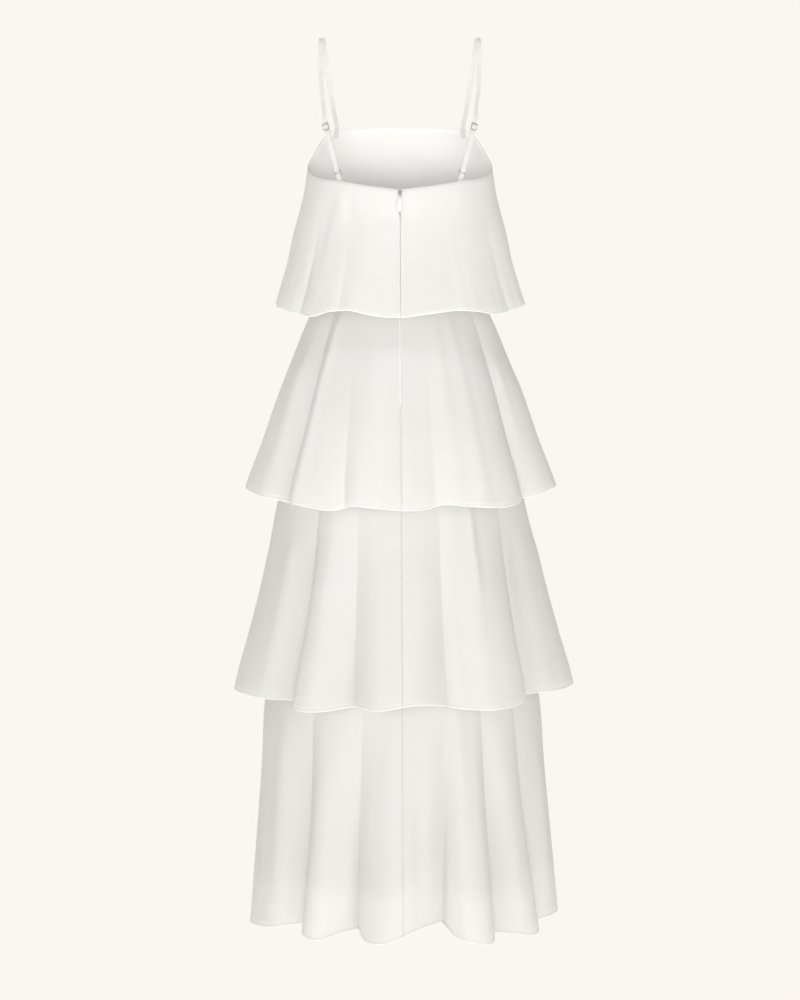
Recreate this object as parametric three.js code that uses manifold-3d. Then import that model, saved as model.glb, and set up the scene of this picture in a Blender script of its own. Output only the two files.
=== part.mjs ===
import * as THREE from 'three';
import Module from 'manifold-3d';
import { mergeVertices } from 'three/addons/utils/BufferGeometryUtils.js';

// A sleeveless maxi dress: a bodice and a slip carry four fluted tiers of chiffon, with two
// adjustable straps and a centre back zip. Millimetres, +Z up. The front faces -Y, the back
// faces +Y, and the wearer's left is +X. The origin lies midway between the undersides of the
// strap tops, where the shoulders hold the dress.
// A turn is an angle round the body in degrees: 0 centre back, 90 wearer's left, 180 front.

// Cloth and seams
const clothWall = 1.2;
const seamGap = 0.3;
const layerStep = clothWall + 0.35;
const innerLay = 0.65;
const hemOverTier = 3;

// Heights of the seams and hems
const waistHeight = -405;
const tier3Seam = -680;
const tier4Seam = -990;
const slipHem = -1306;
const tier4Hem = -1368;
const sideShiftAtHem = -5;
const slipClearance = 9;
const slipClearGrowth = 2.5;

// Levels of the walls' rows: shares of the way down, and heights in the slip's three panels
const bodiceRows = [0, 0.14, 0.32, 0.52, 0.75, 1];
const flounceRows = [0, 0.12, 0.3, 0.53, 0.78, 1];
const tierRows = [0, 0.13, 0.32, 0.55, 0.78, 1];
const slipTop = waistHeight - seamGap / 2;
const slipPanels = {
  upper: [slipTop, -441, -504, -590, tier3Seam + seamGap / 2],
  middle: [tier3Seam - seamGap / 2, -840, tier4Seam + seamGap / 2],
  lower: [tier4Seam - seamGap / 2, -1039, -1117, -1207, slipHem],
};

// Straps and their fittings
const strapWidth = 8;
const strapThick = 1;
const ringRadius = 5.2;
const ringWire = 0.75;
const loopReach = 1.85;
const loopRow = 3.4;
const loopSteps = 8;
const sliderWidth = 12;
const sliderLength = 11;
const sliderBar = 1.4;

// Zip
const zipGap = 1.6;
const zipEnd = -582;
const zipTapeWidth = 11;
const zipTapeThick = 1;
const zipLay = 0.8;
const zipTapeHeights = [-251, -276, -300, -326, -350, -378, -404, -420, -440, -470, -500, -545,
  zipEnd];
const plate = { width: 5.4, top: -250, foot: -264.5, face: 98.8, thick: 1.6 };
const neck = { width: 1, top: -251, foot: -260 };
const bridge = { width: 1.4, top: -256, leg: 1.2, window: 4, reach: 4.4 };
const pullTab = { width: 7.4, eyeEnd: 5, length: 22.4, thick: 1, eyeWidth: 2.6, eyeLength: 4.4,
  eyeBar: 1.2 };

// How finely the walls are divided, and how far the columns crowd towards the valleys
const skirtSpacing = 4.6;
const bodiceSpacing = 7.5;
const crowding = 0.45;
const turnProbe = 0.5;
const downProbe = 0.01;

// How sharp the valleys between the flutes are, and how they deepen on the way down
const valleySharpness = 1.25;
const valleyGrowth = 1.1;

// Half measures of each layer's ring at a height: to the side, to the back and to the front.
const bodiceForm = [
  { height: -120, side: 131, back: 78, front: 84 },
  { height: -165, side: 139, back: 88, front: 99 },
  { height: -205, side: 142, back: 94, front: 110 },
  { height: -250, side: 143, back: 96, front: 117 },
  { height: -300, side: 138, back: 92, front: 112 },
  { height: -350, side: 130, back: 86, front: 98 },
  { height: waistHeight, side: 125, back: 84, front: 88 },
];

const slipForm = [
  { height: waistHeight, side: 125, back: 84, front: 88 },
  { height: -440, side: 134, back: 96, front: 99 },
  { height: -500, side: 148, back: 114, front: 117 },
  { height: -590, side: 166, back: 136, front: 138 },
  { height: tier3Seam, side: 180, back: 154, front: 156 },
  { height: -840, side: 194, back: 172, front: 174 },
  { height: tier4Seam, side: 206, back: 186, front: 188 },
];

const tier2Form = [
  grownRow(slipForm[0], layerStep),
  { height: -439, side: 143, back: 106, front: 109 },
  { height: -502, side: 169, back: 138, front: 140 },
  { height: -564, side: 194, back: 164, front: 165 },
  { height: -626, side: 216, back: 187, front: 186 },
  { height: -700, side: 244, back: 208, front: 205 },
  { height: -735, side: 254, back: 215, front: 212 },
];

const tier3Form = [
  grownRow(slipForm[4], layerStep),
  { height: -736, side: 195, back: 175, front: 174 },
  { height: -798, side: 208, back: 189, front: 188 },
  { height: -860, side: 223, back: 203, front: 200 },
  { height: -923, side: 240, back: 216, front: 212 },
  { height: -985, side: 258, back: 229, front: 224 },
  { height: -1032, side: 269, back: 239, front: 232 },
];

const tier4Form = [
  grownRow(slipForm[6], layerStep),
  { height: -1032, side: 214, back: 196, front: 195 },
  { height: -1126, side: 221, back: 203, front: 202 },
  { height: -1250, side: 232, back: 211, front: 210 },
  { height: tier4Hem, side: 242, back: 218, front: 216 },
];

// The upper edge of the bodice and of the flounce over it, from centre back to centre front.
const neckline = [
  { turn: 0, height: -249 },
  { turn: 20, height: -242 },
  { turn: 42, height: -231 },
  { turn: 56, height: -227 },
  { turn: 72, height: -217 },
  { turn: 90, height: -202 },
  { turn: 107, height: -178 },
  { turn: 118, height: -151 },
  { turn: 130, height: -132 },
  { turn: 148, height: -127 },
  { turn: 180, height: -124 },
];

// How far the flounce stands off the bodice, from its upper edge to its hem.
const flounceFlare = [
  { down: 0, off: layerStep },
  { down: 0.23, off: 8 },
  { down: 0.53, off: 32 },
  { down: 0.84, off: 58 },
  { down: 1, off: 71 },
];

// Heights of each tier's hem round the dress.
const flounceHem = [
  { turn: -180, height: -395 }, { turn: -160, height: -399 }, { turn: -144, height: -395 },
  { turn: -128, height: -404 }, { turn: -112, height: -403 }, { turn: -90, height: -412 },
  { turn: -75, height: -420 }, { turn: -61, height: -430 }, { turn: -47, height: -438 },
  { turn: -35, height: -435 }, { turn: -26, height: -435 }, { turn: -14, height: -441 },
  { turn: 1, height: -447 }, { turn: 12, height: -444 }, { turn: 22, height: -436 },
  { turn: 33, height: -436 }, { turn: 42, height: -442 }, { turn: 53, height: -437 },
  { turn: 66, height: -428 }, { turn: 78, height: -420 }, { turn: 90, height: -413 },
  { turn: 112, height: -404 }, { turn: 126, height: -404 }, { turn: 142, height: -396 },
  { turn: 157, height: -399 }, { turn: 180, height: -395 },
];
const tier2Hem = [
  { turn: -180, height: -734 }, { turn: -160, height: -726 }, { turn: -149, height: -728 },
  { turn: -137, height: -716 }, { turn: -118, height: -706 }, { turn: -97, height: -693 },
  { turn: -84, height: -692 }, { turn: -70, height: -699 }, { turn: -59, height: -711 },
  { turn: -50, height: -719 }, { turn: -40, height: -729 }, { turn: -23, height: -729 },
  { turn: -14, height: -727 }, { turn: -9, height: -733 }, { turn: 9, height: -732 },
  { turn: 17, height: -729 }, { turn: 24, height: -735 }, { turn: 34, height: -730 },
  { turn: 43, height: -723 }, { turn: 47, height: -726 }, { turn: 56, height: -717 },
  { turn: 70, height: -703 }, { turn: 84, height: -695 }, { turn: 98, height: -693 },
  { turn: 110, height: -701 }, { turn: 121, height: -705 }, { turn: 132, height: -715 },
  { turn: 144, height: -717 }, { turn: 158, height: -729 }, { turn: 172, height: -726 },
  { turn: 180, height: -734 },
];
const tier3Hem = [
  { turn: -180, height: -1030 }, { turn: -167, height: -1023 }, { turn: -156, height: -1030 },
  { turn: -145, height: -1024 }, { turn: -132, height: -1027 }, { turn: -118, height: -1013 },
  { turn: -96, height: -1001 }, { turn: -80, height: -1002 }, { turn: -68, height: -1005 },
  { turn: -55, height: -1008 }, { turn: -47, height: -1018 }, { turn: -29, height: -1029 },
  { turn: -18, height: -1026 }, { turn: -11, height: -1021 }, { turn: -4, height: -1020 },
  { turn: 7, height: -1028 }, { turn: 21, height: -1026 }, { turn: 27, height: -1031 },
  { turn: 39, height: -1027 }, { turn: 44, height: -1021 }, { turn: 54, height: -1018 },
  { turn: 64, height: -1014 }, { turn: 74, height: -1012 }, { turn: 90, height: -1011 },
  { turn: 104, height: -1010 }, { turn: 120, height: -1020 }, { turn: 131, height: -1028 },
  { turn: 142, height: -1023 }, { turn: 153, height: -1031 }, { turn: 165, height: -1024 },
  { turn: 180, height: -1030 },
];
const tier4HemLine = [
  { turn: -180, height: -1371 }, { turn: -170, height: -1362 }, { turn: -158, height: -1371 },
  { turn: -147, height: -1361 }, { turn: -133, height: -1372 }, { turn: -120, height: -1362 },
  { turn: -104, height: -1366 }, { turn: -89, height: -1358 }, { turn: -75, height: -1359 },
  { turn: -67, height: -1361 }, { turn: -55, height: -1374 }, { turn: -42, height: -1368 },
  { turn: -33, height: -1377 }, { turn: -25, height: -1373 }, { turn: -20, height: -1366 },
  { turn: -16, height: -1350 }, { turn: -10, height: -1348 }, { turn: -3, height: -1355 },
  { turn: 6, height: -1370 }, { turn: 14, height: -1372 }, { turn: 23, height: -1360 },
  { turn: 33, height: -1372 }, { turn: 46, height: -1357 }, { turn: 59, height: -1365 },
  { turn: 76, height: -1368 }, { turn: 92, height: -1373 }, { turn: 112, height: -1362 },
  { turn: 125, height: -1372 }, { turn: 138, height: -1362 }, { turn: 151, height: -1371 },
  { turn: 163, height: -1363 }, { turn: 180, height: -1371 },
];

// Valleys between the flutes: their turn at the hem and at the seam, how deep they are at the
// hem, how far their floor slides sideways under the next flute, and how far down they start.
const flounceFolds = [
  { hem: -160, top: -158, depth: 15, lean: 0, start: 0.25 },
  { hem: -128, top: -130, depth: 17, lean: 0, start: 0.2 },
  { hem: -93, top: -90, depth: 5, lean: 0, start: 0.3 },
  { hem: -61, top: -60, depth: 7, lean: 0, start: 0.2 },
  { hem: -27, top: -27, depth: 4, lean: 0, start: 0.4 },
  { hem: 8, top: 10, depth: 3, lean: 0, start: 0.5 },
  { hem: 29, top: 30, depth: 4, lean: 0, start: 0.4 },
  { hem: 54, top: 54, depth: 8, lean: 0, start: 0.15 },
  { hem: 86, top: 84, depth: 5, lean: 0, start: 0.3 },
  { hem: 126, top: 130, depth: 16, lean: 0, start: 0.2 },
  { hem: 157, top: 156, depth: 14, lean: 0, start: 0.25 },
];

const tier2Folds = [
  { hem: -160, top: -162, depth: 26, lean: 4, start: 0.1 },
  { hem: -137, top: -135, depth: 30, lean: -5, start: 0.05 },
  { hem: -118, top: -118, depth: 22, lean: 0, start: 0.15 },
  { hem: -97, top: -96, depth: 12, lean: 0, start: 0.3 },
  { hem: -55, top: -51, depth: 38, lean: -11, start: 0.03 },
  { hem: -12, top: -14, depth: 15, lean: 0, start: 0.2 },
  { hem: 7, top: 7, depth: 7, lean: 0, start: 0.35 },
  { hem: 20, top: 26, depth: 13, lean: 0, start: 0.25 },
  { hem: 50, top: 46.5, depth: 36, lean: -11, start: 0.03 },
  { hem: 98, top: 97, depth: 13, lean: 0, start: 0.3 },
  { hem: 121, top: 120, depth: 24, lean: 4, start: 0.1 },
  { hem: 144, top: 142, depth: 32, lean: 6, start: 0.05 },
  { hem: 172, top: 170, depth: 22, lean: -4, start: 0.15 },
];

const tier3Folds = [
  { hem: -167, top: -168, depth: 34, lean: 5, start: 0 },
  { hem: -145, top: -143, depth: 28, lean: -4, start: 0 },
  { hem: -120, top: -120, depth: 32, lean: 5, start: 0 },
  { hem: -53, top: -50, depth: 30, lean: 8, start: 0 },
  { hem: -15.5, top: -17, depth: 38, lean: -3, start: 0 },
  { hem: 20.5, top: 20, depth: 44, lean: -10, start: 0 },
  { hem: 44, top: 40, depth: 38, lean: -10, start: 0 },
  { hem: 97, top: 96, depth: 16, lean: 0, start: 0.1 },
  { hem: 120, top: 118, depth: 30, lean: -5, start: 0 },
  { hem: 142, top: 143, depth: 36, lean: 6, start: 0 },
  { hem: 165, top: 165, depth: 26, lean: 0, start: 0 },
];

const tier4Folds = [
  { hem: -170, top: -172, depth: 44, lean: 6, start: 0 },
  { hem: -147, top: -148, depth: 36, lean: 0, start: 0 },
  { hem: -123, top: -122, depth: 42, lean: -6, start: 0 },
  { hem: -98, top: -96, depth: 20, lean: 0, start: 0.1 },
  { hem: -67, top: -50, depth: 32, lean: 5, start: 0 },
  { hem: -42, top: -32.5, depth: 40, lean: 8, start: 0 },
  { hem: -16.5, top: -18.5, depth: 52, lean: -5, start: 0 },
  { hem: 23, top: 15.5, depth: 55, lean: -9, start: 0 },
  { hem: 46, top: 38, depth: 42, lean: -8, start: 0 },
  { hem: 95, top: 93, depth: 22, lean: 0, start: 0.05 },
  { hem: 117, top: 118, depth: 36, lean: 5, start: 0 },
  { hem: 140, top: 139, depth: 42, lean: -6, start: 0 },
  { hem: 163, top: 165, depth: 34, lean: 0, start: 0 },
];

// The strap's line on the wearer's left: centre points and the turn of its face seen from above.
const strapLine = [
  { across: 105.5, depth: -57, height: -100, face: -34 },
  { across: 109.5, depth: -56, height: -74, face: -28 },
  { across: 113.5, depth: -50, height: -48, face: -20 },
  { across: 117, depth: -39, height: -25, face: -12 },
  { across: 119.3, depth: -25, height: -9, face: -6 },
  { across: 120.7, depth: -8, height: -0.6, face: 0 },
  { across: 121.4, depth: 9, height: -1.5, face: 3 },
  { across: 122, depth: 25, height: -12, face: 10 },
  { across: 122.3, depth: 38, height: -31, face: 18 },
  { across: 122, depth: 48, height: -57, face: 27 },
  { across: 120.6, depth: 55.5, height: -88, face: 36 },
  { across: 117, depth: 61, height: -118, face: 43 },
];
const strapFrontTurn = 130.5;
const strapFrontDrops = [14, 7, 0];
const ringPlace = { turn: 42.8, height: -219 };
const sliderPlace = { across: 113.5, depth: 66, height: -148 };

// Finishes
const chiffon = new THREE.MeshStandardMaterial({ color: 0xeeeee9, roughness: 0.85, metalness: 0 });
const lining = new THREE.MeshStandardMaterial({ color: 0xe6e6df, roughness: 0.7, metalness: 0 });
const strapCloth = new THREE.MeshStandardMaterial({ color: 0xf0f0ec, roughness: 0.6, metalness: 0 });
const steel = new THREE.MeshStandardMaterial({ color: 0xc9c9c6, roughness: 0.3, metalness: 1 });
const whiteMetal = new THREE.MeshStandardMaterial({ color: 0xe9e9e4, roughness: 0.35, metalness: 0.2 });

const dress = new THREE.Group();
const wasm = await Module();
wasm.setup();

function grownRow(row, grow) {
  return {
    height: row.height,
    side: row.side + grow,
    back: row.back + grow,
    front: row.front + grow,
  };
}

function radians(turn) {
  return THREE.MathUtils.degToRad(turn);
}

function mix(a, b, share) {
  return a + (b - a) * share;
}

// Reads a table at a key between its rows, for every other column.
function readTable(table, key, value) {
  const rising = table[table.length - 1][key] > table[0][key];
  let row = 0;
  while (row < table.length - 2 && (table[row + 1][key] < value) === rising
    && table[row + 1][key] !== value) {
    row += 1;
  }
  const low = table[row];
  const high = table[row + 1];
  const share = THREE.MathUtils.clamp((value - low[key]) / (high[key] - low[key]), 0, 1);
  const read = {};
  for (const column of Object.keys(low)) {
    read[column] = mix(low[column], high[column], share);
  }
  return read;
}

// The skirt hangs a little to the wearer's right towards the hem.
function sideShift(height) {
  const share = (waistHeight - height) / (waistHeight - tier4Hem);
  return sideShiftAtHem * THREE.MathUtils.clamp(share, 0, 1);
}

function wrapTurn(turn) {
  return turn - 360 * Math.round(turn / 360);
}

// A point of a plain ring, with the outward direction and the direction of rising turn.
function ringFrame(form, turn, height, grow) {
  const half = readTable(form, 'height', height);
  const angle = radians(turn);
  const side = half.side + grow;
  const depth = (Math.cos(angle) > 0 ? half.back : half.front) + grow;
  const point = new THREE.Vector3(
    side * Math.sin(angle) + sideShift(height), depth * Math.cos(angle), height);
  const along = new THREE.Vector3(side * Math.cos(angle), -depth * Math.sin(angle), 0).normalize();
  const outward = new THREE.Vector3(-along.y, along.x, 0);
  return { point, along, outward };
}

// How far the nearest valley pulls the cloth in and along at a turn. Each flute is round, and
// the valleys between flutes are narrow.
function foldPull(folds, turn, down) {
  const here = wrapTurn(turn);
  const places = folds.map((fold) => mix(fold.top, fold.hem, down));
  let next = places.findIndex((place) => place > here);
  if (next < 0) {
    next = places.length;
  }
  const last = places.length - 1;
  const lower = next > 0 ? places[next - 1] : places[last] - 360;
  const upper = next <= last ? places[next] : places[0] + 360;
  const share = (here - lower) / (upper - lower);
  const fold = share < 0.5 ? folds[(next + last) % places.length] : folds[next % places.length];
  const grown = THREE.MathUtils.clamp((down - fold.start) / (1 - fold.start), 0, 1);
  const pull = (1 - Math.sin(Math.PI * share)) ** valleySharpness * grown ** valleyGrowth;
  return { inward: fold.depth * pull, along: fold.lean * pull };
}

// Moves a point out to a ring that lies below it, so that no layer sinks into another.
function keepOutside(point, form, clearance) {
  const half = readTable(form, 'height', point.z);
  const x = point.x - sideShift(point.z);
  const depth = (point.y > 0 ? half.back : half.front) + clearance;
  const share = Math.hypot(x / (half.side + clearance), point.y / depth);
  if (share < 1) {
    point.x += x / share - x;
    point.y /= share;
  }
  return point;
}

function foldedPoint(form, folds, turn, height, down, grow) {
  const { point, along, outward } = ringFrame(form, turn, height, grow);
  const pull = foldPull(folds, turn, down);
  point.addScaledVector(outward, -pull.inward);
  point.addScaledVector(along, pull.along);
  return point;
}

function necklineHeight(turn) {
  return readTable(neckline, 'turn', Math.abs(wrapTurn(turn))).height;
}

function hemHeight(table, turn) {
  return readTable(table, 'turn', wrapTurn(turn)).height;
}

// Each surface gives the outside of a layer at a turn, from its upper edge (0) to its hem (1).
function bodiceSurface(turn, down) {
  const height = mix(necklineHeight(turn), waistHeight + seamGap / 2, down);
  return ringFrame(bodiceForm, turn, height, 0).point;
}

function flounceSurface(turn, down) {
  const height = mix(necklineHeight(turn), hemHeight(flounceHem, turn), down);
  const off = readTable(flounceFlare, 'down', down).off;
  const point = foldedPoint(bodiceForm, flounceFolds, turn, height, down, off);
  return keepOutside(point, height > waistHeight ? bodiceForm : tier2Form, layerStep);
}

function tier2Surface(turn, down) {
  const height = mix(waistHeight, hemHeight(tier2Hem, turn), down);
  const point = foldedPoint(tier2Form, tier2Folds, turn, height, down, 0);
  const below = height > tier3Seam ? slipForm : tier3Form;
  return keepOutside(point, below, height > tier3Seam ? layerStep : hemOverTier);
}

function tier3Surface(turn, down) {
  const height = mix(tier3Seam, hemHeight(tier3Hem, turn), down);
  const point = foldedPoint(tier3Form, tier3Folds, turn, height, down, 0);
  const below = height > tier4Seam ? slipForm : tier4Form;
  return keepOutside(point, below, height > tier4Seam ? layerStep : hemOverTier);
}

function tier4Surface(turn, down) {
  const height = mix(tier4Seam, hemHeight(tier4HemLine, turn), down);
  return foldedPoint(tier4Form, tier4Folds, turn, height, down, 0);
}

// How far down the slip a height lies, and how far down the fourth tier's folds.
function slipDown(height) {
  return (slipTop - height) / (slipTop - slipHem);
}

function slipFoldDown(down) {
  const height = mix(slipTop, slipHem, down);
  return Math.max((tier4Seam - height) / (tier4Seam - tier4Hem), 0);
}

// The slip is plain down to the fourth tier, and hangs in the same flutes inside it.
function slipSurface(turn, down) {
  const height = mix(slipTop, slipHem, down);
  if (height >= tier4Seam) {
    return ringFrame(slipForm, turn, height, 0).point;
  }
  const tierDown = slipFoldDown(down);
  const inside = mix(layerStep, slipClearance, Math.min(tierDown * slipClearGrowth, 1));
  const point = tier4Surface(turn, tierDown);
  return point.addScaledVector(outwardAt(tier4Surface, turn, tierDown), -inside);
}

function outwardAt(surface, turn, down) {
  const low = Math.max(down - downProbe, 0);
  const high = Math.min(down + downProbe, 1);
  const along = surface(turn + turnProbe, down).sub(surface(turn - turnProbe, down));
  const drop = surface(turn, high).sub(surface(turn, low));
  return along.cross(drop).normalize();
}

// Turns of the wall's columns at one level, closer together beside each valley.
function columnTurns(from, to, folds, down, spacing) {
  const knots = [{ here: from, hem: from }, { here: to, hem: to }];
  for (const fold of folds) {
    for (const whole of [-360, 0, 360]) {
      const hem = fold.hem + whole;
      if (hem > from + 4 && hem < to - 4) {
        knots.push({ here: mix(fold.top, fold.hem, down) + whole, hem });
      }
    }
  }
  knots.sort((a, b) => a.hem - b.hem);
  const turns = [from];
  for (let k = 1; k < knots.length; k += 1) {
    const count = Math.max(3, Math.round((knots[k].hem - knots[k - 1].hem) / spacing));
    for (let step = 1; step <= count; step += 1) {
      const even = step / count;
      const eased = (1 - Math.cos(Math.PI * even)) / 2;
      turns.push(mix(knots[k - 1].here, knots[k].here, mix(even, eased, crowding)));
    }
  }
  return turns;
}

// A solid with an outer and an inner grid of points and a rim all round. Both grids are split
// along the same diagonals, so that the wall stays whole where it twists.
function closedWall(outer, inner) {
  const rows = outer.length;
  const columns = outer[0].length;
  const positions = [];
  for (const grid of [outer, inner]) {
    grid.flat().forEach((point) => positions.push(point.x, point.y, point.z));
  }
  const indices = [];
  const out = (row, column) => row * columns + column;
  const into = (row, column) => rows * columns + out(row, column);
  const quad = (a, b, c, d) => indices.push(a, b, c, b, d, c);
  for (let row = 0; row < rows - 1; row += 1) {
    for (let column = 0; column < columns - 1; column += 1) {
      quad(out(row, column), out(row, column + 1), out(row + 1, column), out(row + 1, column + 1));
      quad(into(row, column), into(row + 1, column), into(row, column + 1),
        into(row + 1, column + 1));
    }
    const end = columns - 1;
    quad(into(row, 0), out(row, 0), into(row + 1, 0), out(row + 1, 0));
    quad(out(row, end), into(row, end), out(row + 1, end), into(row + 1, end));
  }
  for (let column = 0; column < columns - 1; column += 1) {
    const foot = rows - 1;
    quad(into(0, column), into(0, column + 1), out(0, column), out(0, column + 1));
    quad(out(foot, column), out(foot, column + 1), into(foot, column), into(foot, column + 1));
  }
  const geometry = new THREE.BufferGeometry();
  geometry.setAttribute('position', new THREE.Float32BufferAttribute(positions, 3));
  geometry.setIndex(indices);
  geometry.computeVertexNormals();
  return geometry;
}

// One cut piece of cloth between two seams. Its side edges stand half a seam gap back.
function clothPiece(name, material, surface, cut) {
  const outer = [];
  const inner = [];
  for (const down of cut.rows) {
    const drift = cut.foldDown ? cut.foldDown(down) : down;
    const turns = columnTurns(cut.from, cut.to, cut.folds, drift, cut.spacing);
    const points = turns.map((turn) => surface(turn, down));
    const normals = turns.map((turn) => outwardAt(surface, turn, down));
    const last = points.length - 1;
    const startWay = points[1].clone().sub(points[0]).normalize();
    const endWay = points[last - 1].clone().sub(points[last]).normalize();
    points[0].addScaledVector(startWay, cut.startGap / 2);
    points[last].addScaledVector(endWay, cut.endGap / 2);
    outer.push(points);
    inner.push(points.map((point, k) => point.clone().addScaledVector(normals[k], -clothWall)));
  }
  addMesh(name, closedWall(outer, inner), material);
}

function addMesh(name, geometry, material) {
  const mesh = new THREE.Mesh(geometry, material);
  mesh.name = name;
  dress.add(mesh);
  return mesh;
}

// Cuts a layer into a front and two backs, with seams at the sides and the centre back.
function cutLayer(layer, material, surface, cut) {
  clothPiece(`${layer}_front`, material, surface,
    { ...cut, from: 90, to: 270, startGap: seamGap, endGap: seamGap });
  clothPiece(`${layer}_back_left`, material, surface,
    { ...cut, from: 0, to: 90, startGap: cut.backGap, endGap: seamGap });
  clothPiece(`${layer}_back_right`, material, surface,
    { ...cut, from: -90, to: 0, startGap: seamGap, endGap: cut.backGap });
}

// The neckline's corners are columns of their own, the same in the bodice and the flounce.
const necklineColumns = [...flounceFolds, { hem: 118, top: 118 }, { hem: -118, top: -118 }];

function addCloth() {
  cutLayer('bodice', lining, bodiceSurface, { folds: necklineColumns, foldDown: () => 0,
    rows: bodiceRows, spacing: bodiceSpacing, backGap: zipGap });
  for (const [panel, heights] of Object.entries(slipPanels)) {
    cutLayer(`slip_${panel}`, lining, slipSurface, { folds: tier4Folds, foldDown: slipFoldDown,
      rows: heights.map(slipDown), spacing: skirtSpacing, backGap: seamGap });
  }
  cutLayer('flounce', chiffon, flounceSurface, { folds: necklineColumns,
    rows: flounceRows, spacing: bodiceSpacing, backGap: zipGap });
  const tiers = [
    { name: 'tier2', surface: tier2Surface, folds: tier2Folds },
    { name: 'tier3', surface: tier3Surface, folds: tier3Folds },
    { name: 'tier4', surface: tier4Surface, folds: tier4Folds },
  ];
  for (const tier of tiers) {
    cutLayer(tier.name, chiffon, tier.surface,
      { folds: tier.folds, rows: tierRows, spacing: skirtSpacing, backGap: seamGap });
  }
}

// A flat band along a line of places, each with a point and the direction of its width.
function bandGeometry(places, width, thick) {
  const outer = [];
  const inner = [];
  places.forEach((place, k) => {
    const before = places[Math.max(k - 1, 0)].point;
    const after = places[Math.min(k + 1, places.length - 1)].point;
    const run = after.clone().sub(before).normalize();
    const face = run.clone().cross(place.across).normalize();
    const edge = face.clone().cross(run).normalize();
    const at = (side, lift) => place.point.clone()
      .addScaledVector(edge, side * width / 2).addScaledVector(face, lift * thick / 2);
    outer.push([at(-1, 1), at(1, 1)]);
    inner.push([at(-1, -1), at(1, -1)]);
  });
  return closedWall(inner, outer);
}

// The frame of one strap's fittings: their origin, the way along the strap, across it and out.
function fittingFrame(ringPoint, sliderPoint, outward) {
  const up = sliderPoint.clone().sub(ringPoint).normalize();
  const across = up.clone().cross(outward).normalize();
  const out = across.clone().cross(up).normalize();
  return { up, across, out };
}

// A point in a frame: so far along the strap and so far out from its plane.
function framePlace(origin, frame, along, out) {
  return {
    point: origin.clone().addScaledVector(frame.up, along).addScaledVector(frame.out, out),
    across: frame.across.clone(),
  };
}

// A loop of strap round one arc of the ring: it goes down outside and comes back inside.
function ringLoop(origin, frame, way) {
  const places = [];
  for (let step = 0; step <= loopSteps; step += 1) {
    const angle = Math.PI * step / loopSteps;
    places.push(framePlace(origin, frame,
      way * (loopRow - loopReach * Math.sin(angle)), loopReach * Math.cos(angle)));
  }
  return places;
}

function strapFrame() {
  const inset = clothWall + innerLay + strapThick + seamGap / 2;
  const wall = ringFrame(bodiceForm, ringPlace.turn, ringPlace.height, -inset);
  const slider = new THREE.Vector3(sliderPlace.across, sliderPlace.depth, sliderPlace.height);
  return { ring: wall.point, slider, frame: fittingFrame(wall.point, slider, wall.outward) };
}

function strapPlaces() {
  const { ring, slider, frame } = strapFrame();
  const frontInset = clothWall + innerLay + strapThick / 2;
  const places = [];
  for (const drop of strapFrontDrops) {
    const height = necklineHeight(strapFrontTurn) - drop;
    const wall = ringFrame(bodiceForm, strapFrontTurn, height, -frontInset);
    places.push({ point: wall.point, across: wall.along });
  }
  for (const row of strapLine) {
    const angle = radians(row.face);
    places.push({
      point: new THREE.Vector3(row.across, row.depth, row.height),
      across: new THREE.Vector3(-Math.cos(angle), Math.sin(angle), 0),
    });
  }
  const length = slider.distanceTo(ring);
  const behind = -(sliderBar / 2 + strapThick / 2 + seamGap + 0.1);
  const over = -behind;
  const sliderRun = [
    { along: length + 9, out: -0.6 },
    { along: length + 5.6, out: behind },
    { along: length + 3.6, out: behind * 0.7 },
    { along: length + 1, out: over },
    { along: length - 1, out: over },
    { along: length - 3.6, out: behind * 0.7 },
    { along: length - 5.6, out: behind },
    { along: length - 9, out: 0.2 },
    { along: length * 0.5, out: 0.7 },
    { along: 10, out: 0.8 },
    { along: 6, out: 1.3 },
  ];
  sliderRun.forEach((row) => places.push(framePlace(ring, frame, row.along, row.out)));
  ringLoop(ring, frame, 1).forEach((place) => places.push(place));
  const returnRun = [
    { along: 6, out: -1.3 },
    { along: 10, out: -0.8 },
    { along: length * 0.5, out: -0.8 },
    { along: length - 10, out: -1.4 },
    { along: length - 7.5, out: behind - strapThick - 0.5 },
    { along: length - 4.5, out: behind - strapThick - 0.5 },
  ];
  returnRun.forEach((row) => places.push(framePlace(ring, frame, row.along, row.out)));
  return places;
}

// The short tab that holds the ring, sewn inside the back neckline.
function tabPlaces() {
  const { ring, frame } = strapFrame();
  const layer = (strapThick + seamGap) / 2;
  const places = [];
  for (const row of [{ along: -26, out: layer }, { along: -17, out: layer },
    { along: -10, out: layer }, { along: -6, out: 1.3 }]) {
    places.push(framePlace(ring, frame, row.along, row.out));
  }
  ringLoop(ring, frame, -1).forEach((place) => places.push(place));
  for (const row of [{ along: -6, out: -1.3 }, { along: -10, out: -layer },
    { along: -17, out: -layer }, { along: -26, out: -layer }]) {
    places.push(framePlace(ring, frame, row.along, row.out));
  }
  return places;
}

function mirrorGeometry(geometry, side) {
  if (side > 0) {
    return geometry;
  }
  geometry.scale(-1, 1, 1);
  const index = geometry.getIndex();
  for (let k = 0; k < index.count; k += 3) {
    const first = index.getX(k);
    index.setX(k, index.getX(k + 1));
    index.setX(k + 1, first);
  }
  return geometry;
}

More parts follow.
